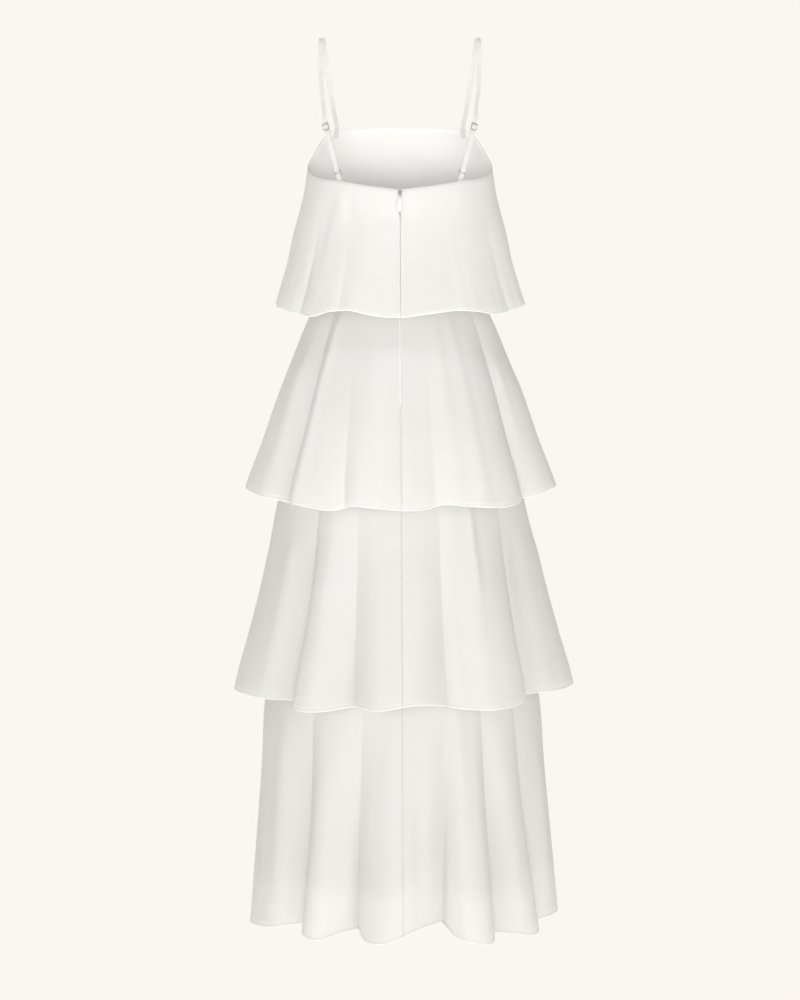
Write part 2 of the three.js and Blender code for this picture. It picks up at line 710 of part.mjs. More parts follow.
// A flat frame with a middle bar, for a strap to be threaded through.
function sliderGeometry() {
  const half = { across: sliderWidth / 2, along: sliderLength / 2 };
  const outline = new THREE.Shape();
  outline.moveTo(-half.across, -half.along);
  outline.lineTo(half.across, -half.along);
  outline.lineTo(half.across, half.along);
  outline.lineTo(-half.across, half.along);
  outline.closePath();
  for (const way of [-1, 1]) {
    const near = way * sliderBar / 2;
    const far = way * (half.along - sliderBar);
    const edge = half.across - sliderBar;
    const slot = new THREE.Path();
    slot.moveTo(-edge, near);
    slot.lineTo(edge, near);
    slot.lineTo(edge, far);
    slot.lineTo(-edge, far);
    slot.closePath();
    outline.holes.push(slot);
  }
  const geometry = new THREE.ExtrudeGeometry(outline, { depth: sliderBar, bevelEnabled: false });
  geometry.translate(0, 0, -sliderBar / 2);
  return geometry;
}

function placeFitting(mesh, origin, frame, side) {
  const across = frame.across.clone();
  const up = frame.up.clone();
  const out = frame.out.clone();
  const place = origin.clone();
  if (side < 0) {
    across.set(across.x, -across.y, -across.z);
    up.x *= -1;
    out.x *= -1;
    place.x *= -1;
  }
  mesh.position.copy(place);
  mesh.quaternion.setFromRotationMatrix(new THREE.Matrix4().makeBasis(across, up, out));
}

function addStraps() {
  const { ring, slider, frame } = strapFrame();
  for (const { side, name } of [{ side: 1, name: 'left' }, { side: -1, name: 'right' }]) {
    addMesh(`strap_${name}`,
      mirrorGeometry(bandGeometry(strapPlaces(), strapWidth, strapThick), side), strapCloth);
    addMesh(`ring_tab_${name}`,
      mirrorGeometry(bandGeometry(tabPlaces(), strapWidth, strapThick), side), strapCloth);
    const ringMesh = addMesh(`strap_ring_${name}`,
      new THREE.TorusGeometry(ringRadius, ringWire, 6, 20), steel);
    placeFitting(ringMesh, ring, frame, side);
    const sliderMesh = addMesh(`strap_slider_${name}`, sliderGeometry(), steel);
    placeFitting(sliderMesh, slider, frame, side);
  }
}

// The two closed halves of the zip, sewn inside the centre back opening.
function zipTapePlaces(side) {
  const inset = clothWall + zipLay + zipTapeThick / 2;
  return zipTapeHeights.map((height) => {
    const form = height > waistHeight ? bodiceForm : slipForm;
    const half = readTable(form, 'height', height);
    const turn = Math.asin(side * (zipTapeWidth + seamGap) / 2 / half.side) * 180 / Math.PI;
    const wall = ringFrame(form, turn, height, -inset);
    wall.point.x = side * (zipTapeWidth + seamGap) / 2 + sideShift(height);
    return { point: wall.point, across: wall.along.clone().negate() };
  });
}

function box(width, y, z) {
  const geometry = new THREE.BoxGeometry(width, y[1] - y[0], z[1] - z[0]);
  geometry.translate(0, (y[0] + y[1]) / 2, (z[0] + z[1]) / 2);
  return geometry;
}

function toSolid(geometry) {
  const bare = geometry.clone();
  bare.deleteAttribute('normal');
  bare.deleteAttribute('uv');
  const merged = mergeVertices(bare, 1e-4);
  return new wasm.Manifold(new wasm.Mesh({
    numProp: 3,
    vertProperties: Float32Array.from(merged.attributes.position.array),
    triVerts: Uint32Array.from(merged.index.array),
  }));
}

function toGeometry(solid) {
  const mesh = solid.getMesh();
  const geometry = new THREE.BufferGeometry();
  geometry.setAttribute('position', new THREE.Float32BufferAttribute(mesh.vertProperties, 3));
  geometry.setIndex(Array.from(mesh.triVerts));
  geometry.computeVertexNormals();
  return geometry;
}

// The slider: a plate over the closed zip, a neck into the opening and a bridge on edge.
function zipSliderGeometry() {
  const outer = plate.face + plate.thick;
  const tapeFace = bodiceForm[3].back - clothWall - zipLay;
  const bridgeFoot = bridge.top - bridge.leg * 2 - bridge.window;
  const overlap = 0.2;
  const front = box(plate.width, [plate.face, outer], [plate.foot, plate.top]);
  const stem = box(neck.width, [tapeFace + seamGap, plate.face + overlap], [neck.foot, neck.top]);
  const arch = box(bridge.width, [outer - overlap, outer + bridge.reach + bridge.leg],
    [bridgeFoot, bridge.top]);
  const window = box(bridge.width * 2, [outer, outer + bridge.reach],
    [bridgeFoot + bridge.leg, bridge.top - bridge.leg]);
  const solid = toSolid(front).add(toSolid(stem)).add(toSolid(arch)).subtract(toSolid(window));
  return toGeometry(solid);
}

// The pull tab's outline round its hinge line, with the eye that the bridge passes through.
function pullTabGeometry() {
  const top = pullTab.eyeBar / 2;
  const half = pullTab.width / 2;
  const outline = new THREE.Shape();
  outline.moveTo(-pullTab.eyeEnd / 2, top - 1);
  outline.quadraticCurveTo(-pullTab.eyeEnd / 2, top, -pullTab.eyeEnd / 2 + 1, top);
  outline.lineTo(pullTab.eyeEnd / 2 - 1, top);
  outline.quadraticCurveTo(pullTab.eyeEnd / 2, top, pullTab.eyeEnd / 2, top - 1);
  outline.lineTo(half, -pullTab.length + half);
  outline.absarc(0, -pullTab.length + half, half, 0, -Math.PI, true);
  outline.closePath();
  const eye = new THREE.Path();
  const eyeHalf = pullTab.eyeWidth / 2;
  eye.moveTo(-eyeHalf, -top);
  eye.lineTo(-eyeHalf, -top - pullTab.eyeLength);
  eye.lineTo(eyeHalf, -top - pullTab.eyeLength);
  eye.lineTo(eyeHalf, -top);
  eye.closePath();
  outline.holes.push(eye);
  const geometry = new THREE.ExtrudeGeometry(outline,
    { depth: pullTab.thick, bevelEnabled: false, curveSegments: 8 });
  geometry.translate(0, 0, -pullTab.thick / 2);
  return geometry;
}

function addZip() {
  for (const { side, name } of [{ side: 1, name: 'left' }, { side: -1, name: 'right' }]) {
    addMesh(`zip_tape_${name}`,
      bandGeometry(zipTapePlaces(side), zipTapeWidth, zipTapeThick), whiteMetal);
  }
  addMesh('zip_slider', zipSliderGeometry(), whiteMetal);
  const pull = addMesh('zip_pull', pullTabGeometry(), whiteMetal);
  const bridgeFoot = bridge.top - bridge.leg * 2 - bridge.window;
  pull.position.set(0, plate.face + plate.thick + bridge.reach / 2,
    bridgeFoot + bridge.leg + seamGap + pullTab.eyeBar / 2);
  pull.rotation.x = Math.PI / 2;
}

addCloth();
addStraps();
addZip();

export default dress;
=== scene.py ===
import math
import bpy
import numpy as np
from mathutils import Matrix, Vector


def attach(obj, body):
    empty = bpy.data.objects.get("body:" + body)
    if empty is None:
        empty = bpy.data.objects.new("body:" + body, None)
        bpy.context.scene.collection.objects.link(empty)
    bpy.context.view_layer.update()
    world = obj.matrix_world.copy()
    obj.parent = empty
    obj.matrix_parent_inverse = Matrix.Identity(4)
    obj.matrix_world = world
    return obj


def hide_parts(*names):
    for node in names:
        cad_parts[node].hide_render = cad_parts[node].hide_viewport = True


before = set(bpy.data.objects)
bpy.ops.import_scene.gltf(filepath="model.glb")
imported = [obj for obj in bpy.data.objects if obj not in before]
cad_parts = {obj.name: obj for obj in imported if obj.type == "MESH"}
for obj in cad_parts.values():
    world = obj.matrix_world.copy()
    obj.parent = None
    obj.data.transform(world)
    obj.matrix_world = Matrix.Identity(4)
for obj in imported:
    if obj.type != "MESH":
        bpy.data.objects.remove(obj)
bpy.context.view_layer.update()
mm = 0.001
print("frame loaded")

# studio: the camera looks at the back of the dress from the height of its middle
studio = {
    "metresPerPixel": 0.00156,  # at the middle of the dress
    "photoHeight": 1000,
    "distance": 3.6,
    "cameraHeight": -0.72,
    "sensor": 36.0,
    "backdrop": (0.956, 0.922, 0.879),
    "backdropGlow": 1.0,
    "floorHeight": -1.62,
    "floorReach": 9.0,
    "wallDistance": 8.5,
    "wallHeight": 9.0,
    "bend": 1.2,
    "air": (1.0, 0.965, 0.92),
    "airStrength": 0.36,
}


def deselectAll():
    if bpy.context.object and bpy.context.object.mode != "OBJECT":
        bpy.ops.object.mode_set(mode="OBJECT")
    bpy.ops.object.select_all(action="DESELECT")


def makeActive(piece):
    deselectAll()
    piece.select_set(True)
    bpy.context.view_layer.objects.active = piece


def applyAll(piece):
    makeActive(piece)
    for modifier in list(piece.modifiers):
        bpy.ops.object.modifier_apply(modifier=modifier.name)
    bpy.ops.object.transform_apply(location=True, rotation=True, scale=True)


def placeMesh(piece, matrix):
    piece.data.transform(matrix)
    piece.data.update()


# materials


def newMaterial(name, colour, roughness, **sockets):
    material = bpy.data.materials.new(name)
    material.use_nodes = True
    shader = material.node_tree.nodes["Principled BSDF"]
    shader.inputs["Base Color"].default_value = (*colour, 1)
    shader.inputs["Roughness"].default_value = roughness
    for socket, value in sockets.items():
        shader.inputs[socket.replace("_", " ")].default_value = value
    return material


def addNode(material, kind, **values):
    node = material.node_tree.nodes.new(kind)
    for key, value in values.items():
        if key in node.inputs.keys():
            node.inputs[key].default_value = value
        else:
            setattr(node, key, value)
    return node


def link(material, a, b):
    material.node_tree.links.new(a, b)


# soft variation of a cloth's colour, and the grain of its weave as bump
def addWeave(material, light, dark, patchScale, grainScale, grainStrength, slubScale):
    shader = material.node_tree.nodes["Principled BSDF"]
    place = addNode(material, "ShaderNodeTexCoord")
    patches = addNode(material, "ShaderNodeTexNoise", Scale=patchScale, Detail=3.0)
    ramp = addNode(material, "ShaderNodeValToRGB")
    ramp.color_ramp.elements[0].position = 0.3
    ramp.color_ramp.elements[0].color = (*dark, 1)
    ramp.color_ramp.elements[1].position = 0.7
    ramp.color_ramp.elements[1].color = (*light, 1)
    link(material, place.outputs["Object"], patches.inputs["Vector"])
    link(material, patches.outputs["Fac"], ramp.inputs["Fac"])
    link(material, ramp.outputs["Color"], shader.inputs["Base Color"])
    stretch = addNode(material, "ShaderNodeMapping")
    stretch.inputs["Scale"].default_value = (grainScale, slubScale, 1)
    grain = addNode(material, "ShaderNodeTexNoise", Scale=1.0, Detail=2.0)
    warp = addNode(material, "ShaderNodeTexWave", Scale=grainScale * 0.55, Distortion=1.2)
    both = addNode(material, "ShaderNodeMath", operation="ADD")
    bump = addNode(material, "ShaderNodeBump", Strength=grainStrength, Distance=0.0004)
    link(material, place.outputs["UV"], stretch.inputs["Vector"])
    link(material, stretch.outputs["Vector"], grain.inputs["Vector"])
    link(material, place.outputs["UV"], warp.inputs["Vector"])
    link(material, grain.outputs["Fac"], both.inputs[0])
    link(material, warp.outputs["Fac"], both.inputs[1])
    link(material, both.outputs["Value"], bump.inputs["Height"])
    link(material, bump.outputs["Normal"], shader.inputs["Normal"])


def addScuffs(material, scale, low, high):
    shader = material.node_tree.nodes["Principled BSDF"]
    place = addNode(material, "ShaderNodeTexCoord")
    noise = addNode(material, "ShaderNodeTexNoise", Scale=scale, Detail=4.0)
    spread = addNode(material, "ShaderNodeMapRange")
    spread.inputs["To Min"].default_value = low
    spread.inputs["To Max"].default_value = high
    link(material, place.outputs["Object"], noise.inputs["Vector"])
    link(material, noise.outputs["Fac"], spread.inputs["Value"])
    link(material, spread.outputs["Result"], shader.inputs["Roughness"])


chiffon = newMaterial("chiffon", (0.9, 0.9, 0.885), 0.82, Sheen_Weight=0.06,
                      Sheen_Roughness=0.5, Alpha=0.74)
addWeave(chiffon, (0.915, 0.915, 0.9), (0.89, 0.888, 0.868), 9, 2600, 0.10, 900)
hemCloth = newMaterial("rolledHem", (0.95, 0.95, 0.94), 0.7, Sheen_Weight=0.2)
addWeave(hemCloth, (0.96, 0.96, 0.95), (0.93, 0.93, 0.92), 20, 2600, 0.10, 900)
liningCloth = newMaterial("lining", (0.92, 0.92, 0.905), 0.6, Sheen_Weight=0.05)
addWeave(liningCloth, (0.93, 0.93, 0.915), (0.91, 0.91, 0.89), 7, 1800, 0.08, 1800)
strapSatin = newMaterial("strapSatin", (0.78, 0.78, 0.765), 0.5, Sheen_Weight=0.05)
addWeave(strapSatin, (0.8, 0.8, 0.785), (0.74, 0.74, 0.725), 60, 1500, 0.12, 4000)
zipTape = newMaterial("zipTape", (0.88, 0.88, 0.86), 0.7)
addWeave(zipTape, (0.89, 0.89, 0.87), (0.84, 0.84, 0.82), 40, 1500, 0.2, 1500)
strapMetal = newMaterial("strapMetal", (0.5, 0.5, 0.49), 0.24, Metallic=1.0)
addScuffs(strapMetal, 400, 0.2, 0.36)
zipEnamel = newMaterial("zipEnamel", (0.8, 0.8, 0.785), 0.35, Coat_Weight=0.3)
addScuffs(zipEnamel, 500, 0.28, 0.45)
zipSteel = newMaterial("zipSteel", (0.55, 0.55, 0.54), 0.3, Metallic=0.9)
addScuffs(zipSteel, 500, 0.24, 0.4)
print("materials made")

# cloth layers: a turn is an angle round the body in degrees, 0 at the centre back, 90 at the
# wearer's left and 180 at the front; lengths in these tables are millimetres
cut = {
    "wall": 0.5,
    "solidWall": 1.2,
    "layerStep": 1.55,
    "waist": -405,
    "tier3Seam": -680,
    "tier4Seam": -990,
    "slipHem": -1306,
    "slipRise": 18,
    "slipRiseTurn": -12,
    "slipRiseSpread": 9,
    "hem": -1368,
    "sideShift": -5,
    "slipClearance": 9,
    "zipGap": 1.6,
    "flounceGap": 1.1,
    "seamGap": 0.3,
    "sewnGap": 0.06,
    "seamDip": 0.15,
    "seamReach": 2.2,
    "ease": 1.01,
}

# height, half width, half depth to the back, half depth to the front
bodiceForm = [(-120, 131, 78, 84), (-165, 139, 88, 99), (-205, 142, 94, 110),
              (-250, 143, 96, 117), (-300, 138, 92, 112), (-350, 130, 86, 98),
              (-405, 125, 84, 88)]
slipForm = [(-405, 125, 84, 88), (-440, 134, 96, 99), (-500, 148, 114, 117),
            (-590, 166, 136, 138), (-680, 180, 154, 156), (-840, 194, 172, 174),
            (-990, 206, 186, 188)]
tier2Form = [(-405, 126.55, 85.55, 89.55), (-439, 143, 106, 109), (-502, 169, 138, 140),
             (-564, 194, 164, 165), (-626, 216, 187, 186), (-700, 244, 208, 205),
             (-735, 254, 215, 212)]
tier3Form = [(-680, 181.55, 155.55, 157.55), (-736, 195, 175, 174), (-798, 208, 189, 188),
             (-860, 223, 203, 200), (-923, 240, 216, 212), (-985, 258, 229, 224),
             (-1032, 269, 239, 232)]
tier4Form = [(-990, 207.55, 187.55, 189.55), (-1032, 214, 196, 195), (-1126, 221, 203, 202),
             (-1250, 232, 211, 210), (-1368, 242, 218, 216)]

# turn and height of the upper edge of the bodice and the flounce
neckline = [(0, -249), (20, -242), (42, -231), (56, -227), (72, -217), (90, -202),
            (107, -178), (118, -151), (130, -132), (148, -127), (180, -124)]
# how far the flounce stands off the bodice, from its upper edge (0) to its hem (1)
flounceFlare = [(0, 1.55), (0.23, 8), (0.53, 32), (0.84, 58), (1, 71)]

# valleys between the flutes: turn at the hem, turn at the seam, depth, lean of the valley
# floor under the next flute, where it starts, and where the crest of the next flute lies
flounceFolds = [
    (-160, -158, 15, 0, 0.25, 0.5), (-128, -130, 17, 0, 0.2, 0.5), (-93, -90, 5, 0, 0.3, 0.5),
    (-61, -60, 7, 0, 0.2, 0.5), (-27, -27, 4, 0, 0.4, 0.5), (8, 10, 3, 0, 0.5, 0.5),
    (29, 30, 4, 0, 0.4, 0.5), (54, 54, 8, 0, 0.15, 0.5), (86, 84, 5, 0, 0.3, 0.5),
    (126, 130, 16, 0, 0.2, 0.5), (157, 156, 14, 0, 0.25, 0.5)]
tier2Folds = [
    (-160, -162, 26, 4, 0.1, 0.5), (-137, -135, 30, -5, 0.05, 0.5),
    (-118, -118, 22, 0, 0.15, 0.5), (-97, -96, 12, 0, 0.3, 0.5), (-55, -51, 38, -11, 0.03, 0.4),
    (-12, -14, 10, 0, 0.25, 0.5), (7, 7, 6, 0, 0.35, 0.5), (20, 26, 11, 0, 0.25, 0.62),
    (50, 46.5, 36, -11, 0.03, 0.5), (98, 97, 13, 0, 0.3, 0.5), (121, 120, 24, 4, 0.1, 0.5),
    (144, 142, 32, 6, 0.05, 0.5), (172, 170, 22, -4, 0.15, 0.5)]
tier3Folds = [
    (-167, -168, 34, 5, 0, 0.5), (-145, -143, 28, -4, 0, 0.5), (-120, -120, 32, 5, 0, 0.5),
    (-53, -50, 30, 8, 0, 0.45), (-15.5, -17, 38, -3, 0, 0.45),
    (20.5, 20, 44, -10, 0, 0.6), (44, 40, 38, -10, 0, 0.5), (97, 96, 16, 0, 0.1, 0.5),
    (120, 118, 30, -5, 0, 0.5), (142, 143, 36, 6, 0, 0.5), (165, 165, 26, 0, 0, 0.5)]
tier4Folds = [
    (-170, -172, 44, 6, 0, 0.5), (-147, -148, 36, 0, 0, 0.5), (-123, -122, 42, -6, 0, 0.5),
    (-98, -96, 20, 0, 0.1, 0.5), (-67, -50, 32, 5, 0, 0.5), (-42, -32.5, 40, 8, 0, 0.5),
    (-16.5, -18.5, 52, -5, 0, 0.5), (23, 15.5, 55, -9, 0, 0.55), (46, 38, 42, -8, 0, 0.5),
    (95, 93, 22, 0, 0.05, 0.5), (117, 118, 36, 5, 0, 0.5), (140, 139, 42, -6, 0, 0.5),
    (163, 165, 34, 0, 0, 0.5)]

# turn and height of each tier's hem
flounceHem = [(-180, -395), (-160, -399), (-144, -395), (-128, -404), (-112, -403), (-90, -412),
              (-75, -420), (-61, -430), (-47, -438), (-35, -435), (-26, -435), (-14, -441),
              (1, -447), (12, -444), (22, -436), (33, -436), (42, -442), (53, -437),
              (66, -428), (78, -420), (90, -413), (112, -404), (126, -404), (142, -396),
              (157, -399), (180, -395)]
tier2Hem = [(-180, -734), (-160, -726), (-149, -728), (-137, -716), (-118, -706), (-97, -693),
            (-84, -696), (-70, -703), (-59, -714), (-50, -719), (-40, -729), (-23, -729),
            (-14, -727), (-9, -733), (9, -732), (17, -729), (24, -735), (34, -730), (43, -723),
            (47, -726), (56, -719), (70, -706), (84, -697), (98, -694), (110, -701),
            (121, -705), (132, -715), (144, -717), (158, -729), (172, -726), (180, -734)]
tier3Hem = [(-180, -1030), (-167, -1023), (-156, -1030), (-145, -1024), (-132, -1027),
            (-118, -1013), (-96, -1001), (-80, -1004), (-68, -1009), (-55, -1012),
            (-47, -1018), (-29, -1029), (-18, -1026), (-11, -1021), (-4, -1020), (7, -1028),
            (21, -1026), (27, -1031), (39, -1027), (44, -1021), (54, -1018), (64, -1014),
            (74, -1011), (90, -1009), (104, -1010), (120, -1020), (131, -1028), (142, -1023),
            (153, -1031), (165, -1024), (180, -1030)]
tier4HemLine = [(-180, -1371), (-170, -1362), (-158, -1371), (-147, -1361), (-133, -1372),
                (-120, -1362), (-104, -1366), (-89, -1355), (-75, -1356), (-67, -1361),
                (-55, -1374), (-42, -1368), (-33, -1377), (-25, -1373), (-20, -1366),
                (-16, -1350), (-10, -1348), (-3, -1355), (6, -1370), (14, -1372), (23, -1360),
                (33, -1372), (46, -1357), (59, -1365), (76, -1368), (92, -1373), (112, -1362),
                (125, -1372), (138, -1362), (151, -1371), (163, -1363), (180, -1371)]

# small soft troughs (below zero) and ridges: turn, spread, height, from, to
ripples = {
    "flounce": [(38, 5, 2.2, -0.1, 0.4), (31, 4, -2, 0, 0.45), (-38, 5, 2, -0.1, 0.3),
                (48, 4, -1.6, 0.1, 0.7), (0, 9, -3, 0.02, 0.42), (-12, 7, 1.5, 0.3, 1.2),
                (19, 5, 1.5, 0.2, 0.9), (140, 6, 3, 0.1, 1.2), (-143, 7, 3, 0.2, 1.2),
                (172, 8, -3, 0.2, 1.2)],
    "tier2": [(5.5, 1.8, -3.5, 0.38, 0.62), (12, 4, 2, 0.1, 0.8), (-20, 4, 3, 0.1, 1.2),
              (-30, 4, 2.5, 0.0, 1.2), (39, 3, 4, 0.0, 1.2), (-2, 3, 2.5, 0.5, 1.2),
              (60, 5, 4, 0.2, 1.2), (-58, 4, 3, 0.2, 1.2), (155, 5, 4, 0.2, 1.2),
              (-175, 5, 4, 0.2, 1.2), (100, 6, 4, 0.3, 1.2), (-95, 6, 4, 0.3, 1.2)],
    "tier3": [(30, 4, 3, 0, 1.2), (-31, 2.2, 5, 0, 0.6), (5, 5, -2.5, 0.2, 1.2),
              (-24, 3, -4, 0.35, 1.2), (54, 4, 4, 0.2, 1.2), (-59, 5, -4, 0.2, 1.2),
              (152, 4, 4, 0.1, 1.2), (-132, 4, 4, 0.1, 1.2), (-86, 20, 4, 0.2, 1.3)],
    "tier4": [(-22, 3, 3, 0, 1.2), (27, 3.5, -3, 0.3, 1.2), (3, 4, 3, 0, 1.2),
              (-6, 3, -3, 0.3, 1.2), (55, 5, 4, 0.1, 1.2), (-70, 5, 4, 0.2, 1.2),
              (150, 4, 4, 0.1, 1.2), (-160, 3, 4, 0.1, 1.2), (95, 6, -4, 0.2, 1.2)],
}
# many faint waves run round every tier; a wave is lower the more often it repeats
waveHeight = 2.6
random = np.random.default_rng(7)
waves = [(int(random.integers(14, 70)), random.uniform(-2, 2), random.uniform(0, 6.28))
         for _ in range(16)]


def smoothRead(rows, column, value):
    table = np.array(sorted(rows), dtype=float)
    keys = table[:, 0]
    values = table[:, column]
    slopes = np.gradient(values, keys)
    at = np.clip(value, keys[0], keys[-1])
    low = np.clip(np.searchsorted(keys, at) - 1, 0, len(keys) - 2)
    span = keys[low + 1] - keys[low]
    t = (at - keys[low]) / span
    return ((2 * t**3 - 3 * t**2 + 1) * values[low] + (t**3 - 2 * t**2 + t) * span * slopes[low]
            + (-2 * t**3 + 3 * t**2) * values[low + 1] + (t**3 - t**2) * span * slopes[low + 1])


def smoothStep(low, high, value):
    t = np.clip((value - low) / (high - low), 0, 1)
    return t * t * (3 - 2 * t)


def wrapTurn(turn):
    return turn - 360 * np.round(turn / 360)


def sideShift(height):
    return cut["sideShift"] * np.clip((cut["waist"] - height) / (cut["waist"] - cut["hem"]), 0, 1)


# the plain ring of a layer: point, direction of rising turn and outward direction
def ringFrame(form, turn, height, grow):
    angle = np.radians(turn)
    side = smoothRead(form, 1, height) + grow
    column = np.where(np.cos(angle) > 0, smoothRead(form, 2, height), smoothRead(form, 3, height))
    depth = column + grow
    point = np.stack([side * np.sin(angle) + sideShift(height), depth * np.cos(angle), height], -1)
    along = np.stack([side * np.cos(angle), -depth * np.sin(angle), 0 * height], -1)
    along /= np.linalg.norm(along, axis=-1, keepdims=True)
    outward = np.stack([-along[..., 1], along[..., 0], 0 * height], -1)
    return point, along, outward


def foldPull(folds, turn, down):
    table = np.array(folds, dtype=float)
    hem, top, depth, lean, start, crest = table.T
    count = len(table)
    inward = np.zeros_like(turn)
    along = np.zeros_like(turn)
    for row in range(turn.shape[0]):
        level = down[row, 0]
        places = top + (hem - top) * level
        here = wrapTurn(turn[row])
        after = np.searchsorted(places, here)
        before = (after - 1) % count
        lower = np.where(after > 0, places[before], places[-1] - 360)
        upper = np.where(after < count, places[after % count], places[0] + 360)
        share = (here - lower) / (upper - lower)
        peak = crest[before]
        share = np.where(share < peak, 0.5 * share / peak, 0.5 + 0.5 * (share - peak) / (1 - peak))
        fold = np.where(share < 0.5, before, after % count)
        grown = np.clip((level - start[fold]) / (1 - start[fold]), 0, 1)
        pull = np.maximum(1 - np.sin(np.pi * share), 0) ** 1.25 * grown**1.1
        inward[row] = depth[fold] * pull
        along[row] = lean[fold] * pull
    return inward, along


def rippleLift(name, turn, down):
    lift = np.zeros_like(turn)
    for at, spread, height, begins, ends in ripples.get(name, []):
        near = np.exp(-(wrapTurn(turn - at) / spread) ** 2)
        lift += height * near * smoothStep(begins, begins + 0.2, down) * (
            1 - smoothStep(ends - 0.2, ends, down))
    for count, drift, phase in waves:
        lift += waveHeight / count * np.sin(np.radians(turn) * count + drift * down + phase) * down
    return lift


def keepOutside(point, form, clearance):
    height = point[..., 2]
    x = point[..., 0] - sideShift(height)
    y = point[..., 1]
    side = smoothRead(form, 1, height) + clearance
    depth = np.where(y > 0, smoothRead(form, 2, height), smoothRead(form, 3, height)) + clearance
    share = np.minimum(np.hypot(x / side, y / depth), 1)
    point[..., 0] += x / share - x
    point[..., 1] = y / share
    return point


def foldedPoint(name, form, folds, turn, height, down, grow):
    point, along, outward = ringFrame(form, turn, height, grow)
    inward, sideways = foldPull(folds, turn, down)
    lift = rippleLift(name, turn, down) * np.minimum(down * 6, 1)
    point += outward * (lift - inward)[..., None] + along * sideways[..., None]
    return point


def necklineHeight(turn):
    keys = [row[0] for row in neckline]
    heights = [row[1] for row in neckline]
    return np.interp(np.abs(wrapTurn(turn)), keys, heights)


def hemHeight(table, turn):
    return smoothRead(table, 1, wrapTurn(turn))


def mixed(a, b, share):
    return a + (b - a) * share


def bodiceSurface(turn, down):
    height = mixed(necklineHeight(turn), cut["waist"] + 0.15, down)
    return ringFrame(bodiceForm, turn, height, 0)[0]


def flounceSurface(turn, down):
    height = mixed(necklineHeight(turn), hemHeight(flounceHem, turn), down)
    off = smoothRead(flounceFlare, 1, down)
    point = foldedPoint("flounce", bodiceForm, flounceFolds, turn, height, down, off)
    return keepOutside(point, bodiceForm, cut["layerStep"])


def tier2Surface(turn, down):
    height = mixed(cut["waist"], hemHeight(tier2Hem, turn), down)
    point = foldedPoint("tier2", tier2Form, tier2Folds, turn, height, down, 0)
    return keepOutside(point, slipForm[:-1] + tier3Form[1:2], cut["layerStep"])


def tier3Surface(turn, down):
    height = mixed(cut["tier3Seam"], hemHeight(tier3Hem, turn), down)
    point = foldedPoint("tier3", tier3Form, tier3Folds, turn, height, down, 0)
    return keepOutside(point, slipForm + tier4Form[1:2], cut["layerStep"])


def tier4Surface(turn, down):
    height = mixed(cut["tier4Seam"], hemHeight(tier4HemLine, turn), down)
    return foldedPoint("tier4", tier4Form, tier4Folds, turn, height, down, 0)


def slipDown(height):
    top = cut["waist"] - cut["seamGap"] / 2
    return (top - height) / (top - cut["slipHem"])


def slipFoldDown(down):
    height = mixed(cut["waist"] - 0.15, cut["slipHem"], down)
    return np.maximum((cut["tier4Seam"] - height) / (cut["tier4Seam"] - cut["hem"]), 0)


def slipSurface(turn, down):
    height = mixed(cut["waist"] - 0.15, cut["slipHem"], down)
    plain = ringFrame(slipForm, turn, height, 0)[0]
    raised = cut["slipRise"] * np.exp(-((wrapTurn(turn) - cut["slipRiseTurn"])
                                    / cut["slipRiseSpread"]) ** 2) * smoothStep(0.7, 1, down)
    level = slipFoldDown(down) - raised / (cut["tier4Seam"] - cut["hem"])
    inside = mixed(cut["layerStep"], cut["slipClearance"], np.minimum(level * 2.5, 1))
    folded = tier4Surface(turn, level)
    folded -= outwardAt(tier4Surface, turn, level, 2.5) * inside[..., None]
    return np.where((height >= cut["tier4Seam"])[..., None], plain, folded)


def outwardAt(surface, turn, down, reach=0.4):
    along = surface(turn + reach, down) - surface(turn - reach, down)
    low = np.maximum(down - 0.008, 0)
    high = np.minimum(down + 0.008, 1)
    drop = surface(turn, high) - surface(turn, low)
    outward = np.cross(along, drop)
    return outward / np.linalg.norm(outward, axis=-1, keepdims=True)


# turns of the columns at one level: they follow the folds and crowd at the seams
def columnTurns(start, end, folds, level, spacing):
    knots = [(start, start), (end, end)]
    for fold in folds:
        for whole in (-360, 0, 360):
            hem = fold[0] + whole
            if start + 4 < hem < end - 4:
                knots.append((hem, mixed(fold[1], fold[0], level) + whole))
    knots.sort()
    turns = [np.array([start])]
    for (hemA, a), (hemB, b) in zip(knots, knots[1:]):
        count = max(6, round((hemB - hemA) / spacing))
        even = np.arange(1, count + 1) / count
        eased = (1 - np.cos(np.pi * even)) / 2
        turns.append(mixed(a, b, mixed(even, eased, 0.5)))
    return np.concatenate(turns)


def gridMesh(name, points, spread):
    rows, columns = points.shape[:2]
    mesh = bpy.data.meshes.new(name)
    index = np.arange(rows * columns).reshape(rows, columns)
    quads = np.stack([index[:-1, :-1], index[1:, :-1], index[1:, 1:], index[:-1, 1:]], -1)
    mesh.from_pydata((points * mm).reshape(-1, 3).tolist(), [], quads.reshape(-1, 4).tolist())
    layer = mesh.uv_layers.new(name="cloth")
    corners = np.zeros(len(mesh.loops), dtype=int)
    mesh.loops.foreach_get("vertex_index", corners)
    layer.data.foreach_set("uv", spread.reshape(-1, 2)[corners].ravel())
    mesh.polygons.foreach_set("use_smooth", [True] * len(mesh.polygons))
    piece = bpy.data.objects.new(name, mesh)
    bpy.context.scene.collection.objects.link(piece)
    return piece


def lengthsAlong(points, axis):
    steps = np.linalg.norm(np.diff(points, axis=axis), axis=-1)
    total = np.cumsum(steps, axis=axis)
    pad = [(0, 0), (0, 0)]
    pad[axis] = (1, 0)
    return np.pad(total, pad)


pieces = {}
cutSizes = {}


